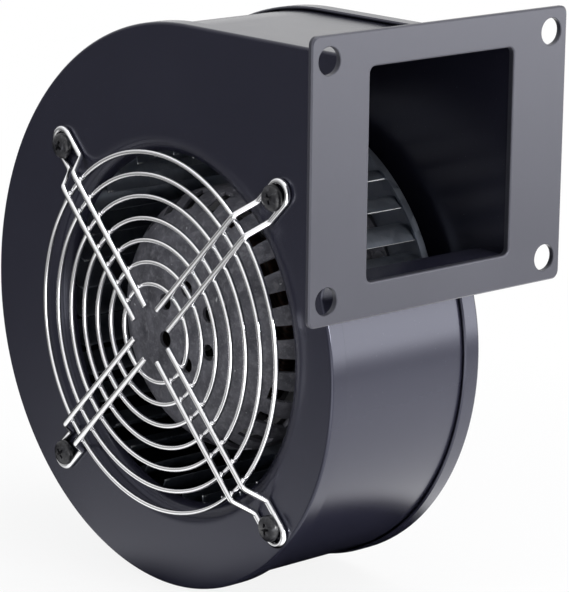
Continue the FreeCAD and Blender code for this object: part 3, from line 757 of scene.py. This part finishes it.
def scroll_strip():
    """The strip between the side sheets, with its lips turned out under their rims."""
    lip = RIM_IN - FOLD_CLEARANCE
    section = [
        (0.0, SHEET),
        (lip, SHEET),
        (lip, 2 * SHEET),
        (SHEET, 2 * SHEET),
        (SHEET, BACK_INNER - SHEET),
        (lip, BACK_INNER - SHEET),
        (lip, BACK_INNER),
        (0.0, BACK_INNER),
    ]
    sheet = Sheet()
    loops = [sheet.loop(scroll_path(offset), y) for offset, y in section]
    sheet.bands(loops + loops[:1], closed=False)
    sheet.cap([loop[0] for loop in loops])
    sheet.cap([loop[-1] for loop in loops])
    return sheet.piece("scroll_strip_sheet", CASING_PAINT, "casing", ["scroll_strip"])


# Outlet flange

def rounded_rectangle(width, height, corner, steps=10):
    """Points (y, z) round a rectangle centred on the outlet."""
    middle_y = DEPTH / 2
    middle_z = duct_middle()
    points = []
    for index, (side, up) in enumerate(((1, 1), (-1, 1), (-1, -1), (1, -1))):
        centre = (middle_y + side * (width / 2 - corner), middle_z + up * (height / 2 - corner))
        points += arc_points(centre, corner, 90.0 * index, 90.0 * index + 90.0, steps)
    return points


def across(sheet, points, x):
    return sheet.corners([(x, y, z) for y, z in points])


def flange_holes():
    """The four fixing holes' places, as (y, z)."""
    half_across = FLANGE_PITCH_ACROSS / 2
    half_up = FLANGE_PITCH_UP / 2
    middle_z = duct_middle()
    return [(DEPTH / 2 + y, middle_z + z) for y in (-half_across, half_across) for z in (-half_up, half_up)]


def flange_edge(sheet, back, front):
    """The plate's outer edge, with a small break toward both faces."""
    narrow = rounded_rectangle(FLANGE_WIDTH - 2 * EDGE_BREAK, FLANGE_HEIGHT - 2 * EDGE_BREAK, FLANGE_CORNER)
    full = rounded_rectangle(FLANGE_WIDTH, FLANGE_HEIGHT, FLANGE_CORNER)
    rows = [(narrow, back), (full, back + EDGE_BREAK), (full, front - EDGE_BREAK), (narrow, front)]
    loops = [across(sheet, outline, x) for outline, x in rows]
    sheet.bands(loops)
    return loops


def flange_mouth(sheet, back, front):
    """The opening, with its front edge rounded."""
    loops = [across(sheet, rounded_rectangle(OPENING_WIDTH, OPENING_HEIGHT, OPENING_CORNER), back)]
    for turn in quarter_turns(6):
        grow = 2 * OPENING_ROUNDING * (1 - math.cos(turn))
        x = front - OPENING_ROUNDING + OPENING_ROUNDING * math.sin(turn)
        outline = rounded_rectangle(OPENING_WIDTH + grow, OPENING_HEIGHT + grow, OPENING_CORNER + grow / 2)
        loops.append(across(sheet, outline, x))
    sheet.bands(loops)
    return loops


def flange_hole(sheet, centre, back, front):
    """One fixing hole, with a small break toward both faces."""
    small_break = EDGE_BREAK / 2
    plain = circle_points(FLANGE_HOLE, 40, centre)
    wide = circle_points(FLANGE_HOLE + small_break, 40, centre)
    rows = [(wide, back), (plain, back + small_break), (plain, front - small_break), (wide, front)]
    loops = [across(sheet, outline, x) for outline, x in rows]
    sheet.bands(loops)
    return loops


def outlet_flange():
    back = OUTLET_REACH
    front = OUTLET_REACH + FLANGE_THICKNESS
    sheet = Sheet()
    rows = [flange_edge(sheet, back, front), flange_mouth(sheet, back, front)]
    rows += [flange_hole(sheet, centre, back, front) for centre in flange_holes()]
    sheet.fill([loops[-1] for loops in rows])
    sheet.fill([loops[0] for loops in rows])
    return sheet.piece("outlet_flange_plate", LIT_FLANGE_PAINT, "casing", ["outlet_flange"])


# Wire guard

def wire_ring(sheet, sides, centre, normal, side, radius):
    """One circle of corners round a wire's middle line."""
    corners = []
    for index in range(sides):
        turn = 2 * math.pi * index / sides
        corners.append(tuple(centre + (normal * math.cos(turn) + side * math.sin(turn)) * radius))
    return sheet.corners(corners)


def wire_along(sheet, path, radius, sides, closed):
    """A round wire through points (x, y, z), with softly rounded ends unless it closes on itself."""
    points = [Vector(point) for point in path]
    count = len(points)
    tangents = []
    for index in range(count):
        before = points[index - 1] if index > 0 or closed else points[index]
        after = points[(index + 1) % count] if index < count - 1 or closed else points[index]
        tangents.append((after - before).normalized())
    normal = Vector((0.0, 1.0, 0.0)) if closed else tangents[0].orthogonal().normalized()
    rings = []
    for point, tangent in zip(points, tangents):
        normal = (normal - tangent * normal.dot(tangent)).normalized()
        rings.append((point, normal, tangent.cross(normal), radius))
    if not closed:
        end_break = radius * WIRE_END_BREAK
        start = points[0] - tangents[0] * end_break
        end = points[-1] + tangents[-1] * end_break
        rings.insert(0, (start, rings[0][1], rings[0][2], radius - end_break))
        rings.append((end, rings[-1][1], rings[-1][2], radius - end_break))
    loops = [wire_ring(sheet, sides, *ring) for ring in rings]
    if closed:
        loops.append(loops[0])
    sheet.bands(loops)
    if not closed:
        sheet.cap(loops[0])
        sheet.cap(loops[-1])


def ring_radii():
    step = (LARGEST_RING - SMALLEST_RING) / (RING_COUNT - 1)
    return [SMALLEST_RING + step * index for index in range(RING_COUNT)]


def guard_rings():
    sheet = Sheet()
    for radius in ring_radii():
        steps = 60 + int(radius)
        path = [(x, -STAND_OFF, z) for x, z in circle_points(radius, steps)]
        wire_along(sheet, path, RING_WIRE, 14, True)
    return sheet.piece("guard_ring_wires", CHROME, "casing", ["guard_rings"], 60.0)


def rounded_path(points, radius, steps=6):
    """Points (along, depth) with each inner corner turned into a small arc."""
    path = [Vector(points[0])]
    for before, corner, after in zip(points, points[1:], points[2:]):
        corner = Vector(corner)
        back = (Vector(before) - corner).normalized()
        ahead = (Vector(after) - corner).normalized()
        half_turn = back.angle(ahead) / 2
        centre = corner + (back + ahead).normalized() * (radius / math.sin(half_turn))
        first = corner + back * (radius / math.tan(half_turn)) - centre
        last = corner + ahead * (radius / math.tan(half_turn)) - centre
        for index in range(steps + 1):
            share = index / steps
            spoke = (first * (1 - share) + last * share).normalized() * radius
            path.append(centre + spoke)
    path.append(Vector(points[-1]))
    return path


def arm_angles():
    return [ARM_ANGLE + 360.0 * index / ARM_COUNT for index in range(ARM_COUNT)]


def arm_heights():
    """Depths of the arms' middle line, over the rings and on the front plate."""
    over_rings = -STAND_OFF - RING_WIRE - ARM_WIRE - WELD_GAP
    on_plate = -ARM_WIRE - WELD_GAP
    return over_rings, on_plate


def guard_arms():
    over_rings, on_plate = arm_heights()
    reach = SCREW_CIRCLE + LOOP_SLACK
    leg = rounded_path(
        [
            (ARM_START + ARM_WIRE * WIRE_END_BREAK, over_rings),
            (STEP_START, over_rings),
            (STEP_START + STEP_LENGTH, on_plate),
            (reach, on_plate),
        ],
        STEP_BEND,
    )
    flat = [(along, depth, LEG_SIDE) for along, depth in leg]
    loop = arc_points((reach, 0.0), LEG_SIDE, 90.0, -90.0, 16, False)[:-1]
    flat += [(along, on_plate, side) for along, side in loop]
    flat += [(along, depth, -LEG_SIDE) for along, depth in reversed(leg)]
    sheet = Sheet()
    for angle in arm_angles():
        spun = [(turned(along, side, angle), depth) for along, depth, side in flat]
        wire_along(sheet, [(x, depth, z) for (x, z), depth in spun], ARM_WIRE, 16, False)
    return sheet.piece("guard_arm_wires", CHROME, "casing", ["guard_arms"], 60.0)


def guard_welds():
    """A small nugget where each leg crosses each ring."""
    over_rings, on_plate = arm_heights()
    depth = (over_rings + ARM_WIRE - STAND_OFF - RING_WIRE) / 2
    size = Matrix.Diagonal((WELD_RADIUS * MM, WELD_HALF_DEPTH * MM, WELD_RADIUS * MM, 1.0))
    sheet = Sheet()
    for radius in ring_radii():
        along = math.sqrt(radius ** 2 - LEG_SIDE ** 2)
        for angle in arm_angles():
            for side in (-LEG_SIDE, LEG_SIDE):
                x, z = turned(along, side, angle)
                spot = Matrix.Translation(place(x, depth, z)) @ size
                bmesh.ops.create_icosphere(sheet.mesh, subdivisions=2, radius=1.0, matrix=spot)
    weld = sheet.piece("guard_weld_spots", CHROME, "casing", (), 80.0)
    return weld


# Screws

def turned_loops(sheet, section, steps, centre=(0.0, 0.0), y_shift=0.0, step=1.0):
    """Circles round a line parallel to the axle from (radius, y) corners; radius 0 closes the end."""
    loops = []
    for radius, y in section:
        depth = y_shift + step * y
        if radius < 1e-6:
            loops.append(sheet.corners([(centre[0], depth, centre[1])]))
        else:
            loops.append(sheet.loop(circle_points(radius, steps, centre), depth))
    for one, other in zip(loops, loops[1:]):
        if len(one) == 1 or len(other) == 1:
            tip, ring = (one[0], other) if len(one) == 1 else (other[0], one)
            for index in range(steps):
                sheet.mesh.faces.new((tip, ring[index], ring[(index + 1) % steps]))
        else:
            sheet.band(one, other)
    return loops


def screw_section(length):
    """Corners (radius, y) down a pan-head screw, from the middle of its head to its point."""
    section = [(0.0, -HEAD_HEIGHT)]
    for turn in quarter_turns(8)[1:]:
        rise = HEAD_EDGE_SHARE + (1 - HEAD_EDGE_SHARE) * math.cos(turn) ** 0.7
        section.append((HEAD_RADIUS * math.sin(turn) ** 0.9, -HEAD_HEIGHT * rise))
    section += [
        (HEAD_RADIUS, 0.0),
        (SHANK_RADIUS, 0.0),
        (SHANK_RADIUS, length - SHANK_POINT),
        (SHANK_RADIUS - SHANK_POINT_DRAFT, length),
        (0.0, length),
    ]
    return section


def cross_recess(centre, y_shift, step, degrees):
    """A tapered cross, deeper in the middle, that cuts the drive into a screw's head."""
    sheet = Sheet()
    for extra in (0, 90):
        rows = []
        for long_half, wide_half, below_top in (RECESS_MOUTH, RECESS_BOTTOM):
            depth = y_shift + step * (below_top - HEAD_HEIGHT)
            corners = []
            for along, side in ((-1, -1), (1, -1), (1, 1), (-1, 1)):
                x, z = turned(along * long_half, side * wide_half, degrees + extra)
                corners.append((centre[0] + x, depth, centre[1] + z))
            rows.append(sheet.corners(corners))
        sheet.bands(rows)
        sheet.cap(rows[0])
        sheet.cap(rows[1])
    return add_object("cross recess", sheet.data("cross recess"))


def pan_screws(name, centres, y_shift, step, length, stands_for, turns):
    """Screws with a cross recess, cut with a boolean whose result is kept as the mesh."""
    sheet = Sheet()
    for centre in centres:
        turned_loops(sheet, screw_section(length), 40, centre, y_shift, step)
    blank = add_object("screw blank", sheet.data(name))
    cutters = [cross_recess(centre, y_shift, step, turn) for centre, turn in zip(centres, turns)]
    for cutter in cutters:
        cut = blank.modifiers.new("recess", "BOOLEAN")
        cut.operation = "DIFFERENCE"
        cut.object = cutter
        cut.solver = "EXACT"
        cut.use_self = True
    bpy.context.view_layer.update()
    seen = blank.evaluated_get(bpy.context.evaluated_depsgraph_get())
    finished = bpy.data.meshes.new_from_object(seen)
    for thing in [blank] + cutters:
        bpy.data.objects.remove(thing)
    return finish_piece(name, finished, BLACK_SCREW, "casing", stands_for, 38.0)


# Wheel

def blade_outline():
    """Points (x, z) round one blade's thin curved section, hollow side first."""
    lean = math.radians(BLADE_LEAN)
    inner = Vector((BLADE_INNER, 0.0))
    outer = Vector((BLADE_TIP * math.cos(lean), -BLADE_TIP * math.sin(lean)))
    chord = outer - inner
    half_turn = math.radians(BLADE_TURN / 2)
    radius = chord.length / 2 / math.sin(half_turn)
    leading = Vector((chord.y, -chord.x)).normalized()
    centre = (inner + outer) / 2 + leading * radius * math.cos(half_turn)
    start = math.degrees(math.atan2(inner.y - centre.y, inner.x - centre.x))
    end = math.degrees(math.atan2(outer.y - centre.y, outer.x - centre.x))
    if end > start:
        end -= 360.0
    hollow = arc_points(centre, radius - BLADE_THICKNESS / 2, start, end, 14)
    crown = arc_points(centre, radius + BLADE_THICKNESS / 2, end, start, 14)
    return hollow + crown


def impeller_blades():
    sheet = Sheet()
    outline = blade_outline()
    for index in range(BLADE_COUNT):
        angle = BLADE_ANGLE + 360.0 * index / BLADE_COUNT
        points = [turned(x, z, angle) for x, z in outline]
        front = sheet.loop(points, WHEEL_FRONT + WHEEL_SHEET)
        back = sheet.loop(points, DISC_FRONT)
        sheet.band(front, back)
        sheet.cap(front)
        sheet.cap(back)
    blades = sheet.piece("impeller_blade_set", GALVANISED, "wheel", ["impeller_blades"], 40.0)
    # The outer end face of each blade takes the near-white colour: a painted glint.
    blades.data.materials.append(CUT_EDGE_GLINT)
    faces_each = len(outline) + 2
    outer_end = len(outline) // 2 - 1
    for face in blades.data.polygons:
        if face.index % faces_each == outer_end:
            face.material_index = 1
    return blades


def turned_edge(face, step):
    """Corners (radius, y) of the wheel's turned edge, from its inner corner round to a flat face."""
    inside = WHEEL_RADIUS - WHEEL_SHEET
    corner = WHEEL_EDGE_ROUNDING * ARC_MIDDLE
    return [
        (inside, face + step * WHEEL_SHEET),
        (inside, face + step * WHEEL_EDGE),
        (WHEEL_RADIUS, face + step * WHEEL_EDGE),
        (WHEEL_RADIUS, face + step * WHEEL_EDGE_ROUNDING),
        (WHEEL_RADIUS - corner, face + step * corner),
        (WHEEL_RADIUS - WHEEL_EDGE_ROUNDING, face),
    ]


def impeller_front_ring():
    inner = WHEEL_RADIUS - FRONT_RING_WIDTH
    section = turned_edge(WHEEL_FRONT, 1.0)
    section += [(inner, WHEEL_FRONT), (inner, WHEEL_FRONT + WHEEL_SHEET)]
    sheet = Sheet()
    turned_loops(sheet, section + section[:1], 144)
    bmesh.ops.remove_doubles(sheet.mesh, verts=sheet.mesh.verts, dist=1e-6)
    return sheet.piece("impeller_front_ring_sheet", GALVANISED, "wheel", ["impeller_front_ring"])


def impeller_disc():
    sheet = Sheet()
    loops = turned_loops(sheet, turned_edge(WHEEL_BACK, -1.0), 144)
    hole = turned_loops(sheet, [(BELL_INNER, DISC_FRONT), (BELL_INNER, WHEEL_BACK)], 96)
    near, far = holes_through(sheet, rivet_places(), RIVET_HOLE, DISC_FRONT, WHEEL_BACK, 24)
    sheet.fill([loops[0], hole[0]] + near)
    sheet.fill([loops[-1], hole[-1]] + far)
    return sheet.piece("impeller_disc_sheet", GALVANISED, "wheel", ["impeller_disc"])


def dome_rows(width, depth):
    """Corners (radius, y) down a dome of the bell, with rows at both ends of the windows."""
    dome_back = WHEEL_FRONT + BELL_DOME
    first = math.acos((BELL_DOME - WINDOW_START) / depth)
    last = math.acos((BELL_DOME - WINDOW_START - WINDOW_LENGTH) / depth)
    turns = [first * row / ROWS_BEFORE_WINDOW for row in range(ROWS_BEFORE_WINDOW)]
    turns += [first + (last - first) * row / ROWS_BESIDE_WINDOW for row in range(ROWS_BESIDE_WINDOW)]
    rest = math.pi / 2 - last
    turns += [last + rest * row / ROWS_AFTER_WINDOW for row in range(ROWS_AFTER_WINDOW + 1)]
    return [(BELL_FACE + width * math.sin(turn), dome_back - depth * math.cos(turn)) for turn in turns]


def bell_columns(radius):
    """Angles round the bell at one radius: each window's two sides and what lies between them."""
    half_window = math.asin(WINDOW_WIDTH / 2 / radius)
    half_pitch = math.pi / WINDOW_COUNT
    angles = []
    for index in range(WINDOW_COUNT):
        middle = math.radians(WINDOW_ANGLE) + 2 * half_pitch * index
        for share in WINDOW_COLUMNS:
            angles.append(middle + share * half_window)
        for share in BETWEEN_COLUMNS:
            angles.append(middle + half_window + share * 2 * (half_pitch - half_window))
    return angles


def bell_walls(sheet, outer, inner):
    """Both skins of the dome and side, open at the windows, and the windows' edges."""
    columns_each = len(WINDOW_COLUMNS) + len(BETWEEN_COLUMNS)
    columns_open = len(WINDOW_COLUMNS) - 1
    first_row = ROWS_BEFORE_WINDOW
    last_row = first_row + ROWS_BESIDE_WINDOW
    for loops in (outer, inner):
        for row, (one, other) in enumerate(zip(loops, loops[1:])):
            for column in range(len(one)):
                in_window = first_row <= row < last_row and column % columns_each < columns_open
                if not in_window:
                    after = (column + 1) % len(one)
                    sheet.mesh.faces.new((one[column], one[after], other[after], other[column]))
    for index in range(WINDOW_COUNT):
        first = index * columns_each
        last = first + columns_open
        around = [(first_row, column) for column in range(first, last)]
        around += [(row, last) for row in range(first_row, last_row)]
        around += [(last_row, column) for column in range(last, first, -1)]
        around += [(row, first) for row in range(last_row, first_row, -1)]
        near = [outer[row][column] for row, column in around]
        far = [inner[row][column] for row, column in around]
        sheet.band(near, far)


def rotor_bell():
    """The drawn cup: flat face with six holes, a dome with windows, side, and flange at its open end."""
    width = BELL_RADIUS - BELL_FACE
    side = DISC_FRONT - BELL_SHEET
    outer_rows = dome_rows(width, BELL_DOME)
    outer_rows += [(BELL_RADIUS, side - BELL_FLANGE_BEND), (BELL_RADIUS + BELL_FLANGE_BEND, side)]
    inner_rows = dome_rows(width - BELL_SHEET, BELL_DOME - BELL_SHEET) + [(BELL_INNER, DISC_FRONT)]
    sheet = Sheet()

    def ring(radius, y):
        return sheet.loop([(radius * math.cos(a), radius * math.sin(a)) for a in bell_columns(radius)], y)

    outer = [ring(*corner) for corner in outer_rows]
    inner = [ring(*corner) for corner in inner_rows]
    bell_walls(sheet, outer, inner)
    holes = ring_places(BELL_HOLE_CIRCLE, BELL_HOLE_COUNT, BELL_HOLE_ANGLE)
    near, far = holes_through(sheet, holes, BELL_HOLE, WHEEL_FRONT, WHEEL_FRONT + BELL_SHEET, 28)
    sheet.fill([outer[0]] + near)
    sheet.fill([inner[0]] + far)
    near, far = holes_through(sheet, rivet_places(), RIVET_HOLE, side, DISC_FRONT, 24)
    edge_near, edge_far = turned_loops(sheet, [(BELL_EDGE, side), (BELL_EDGE, DISC_FRONT)], 120)
    sheet.fill([edge_near, outer[-1]] + near)
    sheet.fill([edge_far, inner[-1]] + far)
    return sheet.piece("rotor_bell_shell", BELL_FINISH, "wheel", ["rotor_bell"])


def finish_inner_nodes():
    """Materials of the pieces that keep their own shape from the model."""
    finishes = {
        ZINC: ("guard_nuts", "impeller_rivets", "bearing_cap", "rotor_hub"),
        CAST: ("motor_bracket", "rotor_end_rings"),
        STACKED: ("stator_core", "rotor_core"),
        SHADED_COPPER: ("stator_windings",),
        SPRING_STEEL: ("wave_washer", "retaining_ring"),
        RUBBER: ("cable_grommet",),
    }
    finish_of = {name: finish for finish, names in finishes.items() for name in names}
    for name, thing in frame["nodes"].items():
        thing.data.materials.clear()
        thing.data.materials.append(finish_of.get(name, BEARING_STEEL))


# Stage and camera

def floor_ramp(paint, reach, levels):
    """Brightness by distance, from stops in metres."""
    return paint.ramp(reach * (1 / RAMP_REACH), [(far / RAMP_REACH, level) for far, level in levels])


def mirrored_floor(paint, centre, reach):
    """How bright the floor is in reflections, as if cards of different greys lay round the fan."""
    offset = paint.vector("SUBTRACT", paint.where(), centre)
    heading = paint.vector("NORMALIZE", paint.vector("MULTIPLY", offset, (1.0, 1.0, 0.0)))

    def along(direction, vector):
        return paint.vector("DOT_PRODUCT", vector, direction, "Value")

    right_share = (along(RIGHT_SIDE, offset) * SIDE_BLEND + 0.5).clamp()
    left_share = ((along(LEFT_CARD, heading) - LEFT_CARD_FIT) * 6.0).clamp() * (1.0 - right_share)
    card = ((along(FRONT_CARD, heading) - FRONT_CARD_FIT) * 12.0).clamp()
    card = card * ((reach - FRONT_CARD_START) * 10.0).clamp()
    right = floor_ramp(paint, reach, RIGHT_FLOOR) * right_share
    left = floor_ramp(paint, reach, LEFT_FLOOR) * left_share
    return (right + left) * FLOOR_GLOW + card * FRONT_CARD_GLOW


def floor():
    """A pale floor that keeps the fan's shadow."""
    low = cad_box[0].z - FLOOR_DROP
    corners = [(-1, -1), (1, -1), (1, 1), (-1, 1)]
    data = bpy.data.meshes.new("floor")
    data.from_pydata([(x * FLOOR_SIZE, y * FLOOR_SIZE, low) for x, y in corners], [], [(0, 1, 2, 3)])
    ground = add_object("floor", data)
    paint = Paint("pale_floor", Roughness=0.9, Specular_IOR_Level=0.0, Emission_Strength=1.0)
    seen = (paint.ray("Is Camera Ray") + paint.ray("Is Transmission Ray")).clamp()
    glossy = paint.ray("Is Glossy Ray")
    centre = (AXLE_X, FACE_Y + DEPTH / 2 * MM, low)
    reach = paint.distance(centre, (1.0, 1.0, 0.0))
    shade = (1.0 - reach * (1 / FLOOR_SHADE_REACH)).clamp() * FLOOR_SHADE
    clouds = paint.noise(1.5, 2.0, 0.5)
    pale = paint.mix(clouds, rgb(0.82, 0.82, 0.83), rgb(0.86, 0.86, 0.86))
    glow = seen * (1.0 - shade)
    kept = 1.0 - glow - glossy
    colour = paint.mix(kept, rgb(0.0, 0.0, 0.0), pale)
    mirrored = mirrored_floor(paint, centre, reach)
    ground.data.materials.append(paint.feed(Base_Color=colour, Emission_Color=glow + glossy * mirrored))


def surround():
    """White all round, dark in reflections toward one side, and a weak bluish light on the fan."""
    world = bpy.data.worlds.new("white surround")
    bpy.context.scene.world = world
    world.use_nodes = True
    world.node_tree.nodes.clear()
    sky = Nodes(world.node_tree)

    def backdrop(colour, strength):
        return sky.node("ShaderNodeBackground", {}, {"Color": colour, "Strength": strength})

    glossy = sky.ray("Is Glossy Ray")
    seen = (sky.ray("Is Camera Ray") + sky.ray("Is Transmission Ray") + glossy).clamp()
    heading = sky.node("ShaderNodeTexCoord", {}, {}, "Generated")
    toward = sky.vector("DOT_PRODUCT", heading, DARK_SIDE.normalized(), "Value")
    dark_share = ((toward - DARK_START) * 2.0).clamp() * glossy
    white = backdrop(rgb(1.0, 1.0, 1.0), 1.0)
    fill = backdrop(rgb(0.92, 0.95, 1.0), SURROUND_FILL)
    dark = backdrop(rgb(1.0, 1.0, 1.0), DARK_LEVEL)
    lit = sky.node("ShaderNodeMixShader", {}, {0: seen, 1: fill, 2: white})
    both = sky.node("ShaderNodeMixShader", {}, {0: dark_share, 1: lit, 2: dark})
    sky.node("ShaderNodeOutputWorld", {}, {"Surface": both}, None)


def soft_light(name, position, target, size, power):
    """A rectangular lamp that lights the fan but isn't seen itself."""
    data = bpy.data.lights.new(name, "AREA")
    data.shape = "RECTANGLE"
    data.size = size[0]
    data.size_y = size[1]
    data.energy = power
    light = add_object(name, data)
    light.location = position
    light.rotation_euler = (Vector(target) - Vector(position)).to_track_quat("-Z", "Y").to_euler()
    light.visible_camera = False
    return light


def lights():
    middle = place(0, 30, 10)
    outlet = place(90, 31, 65)
    soft_light("top softbox", middle + Vector((0.35, 0.25, 1.0)), middle, (0.8, 0.8), 6.0)
    soft_light("right softbox", outlet + Vector((0.85, 0.62, 0.12)), outlet, (0.9, 0.55), 7.5)
    soft_light("outlet light", outlet + Vector((1.0, 0.12, 0.2)), place(60, 30, 30), (0.25, 0.25), 8.5)
    key = soft_light("key light", middle + Vector((-0.05, -1.0, 0.35)), middle, (0.3, 0.3), 4.2)
    key.visible_glossy = False


def camera():
    azimuth = math.radians(CAMERA_AZIMUTH)
    elevation = math.radians(CAMERA_ELEVATION)
    roll = math.radians(CAMERA_ROLL)
    level_ahead = Vector((-math.sin(azimuth), math.cos(azimuth), 0.0))
    ahead = level_ahead * math.cos(elevation) - Vector((0.0, 0.0, math.sin(elevation)))
    level = Vector((math.cos(azimuth), math.sin(azimuth), 0.0))
    upright = level.cross(ahead)
    right = level * math.cos(roll) + upright * math.sin(roll)
    up = upright * math.cos(roll) - level * math.sin(roll)
    data = bpy.data.cameras.new("camera")
    data.lens = FOCAL_PIXELS / IMAGE_HEIGHT * FILM_WIDTH
    data.sensor_width = FILM_WIDTH
    eye = add_object("camera", data)
    turn = Matrix((right, up, -ahead)).transposed().to_4x4()
    eye.matrix_world = Matrix.Translation(place(*CAMERA_EYE)) @ turn
    bpy.context.scene.camera = eye


def main():
    bpy.context.scene.view_settings.view_transform = "Standard"
    front_plate()
    back_plate()
    scroll_strip()
    outlet_flange()
    guard_rings()
    guard_arms()
    guard_welds()
    seat = -2 * ARM_WIRE - 2 * WELD_GAP
    pan_screws(
        "guard_screw_heads",
        corner_places(),
        seat,
        1.0,
        GUARD_SCREW_LENGTH,
        ["guard_screws"],
        GUARD_SCREW_TURNS,
    )
    pan_screws(
        "bracket_screw_heads",
        bracket_places(),
        DEPTH,
        -1.0,
        BRACKET_SCREW_LENGTH,
        ["bracket_screws"],
        BRACKET_SCREW_TURNS,
    )
    impeller_blades()
    impeller_front_ring()
    impeller_disc()
    rotor_bell()
    finish_inner_nodes()
    floor()
    surround()
    lights()
    camera()


main()
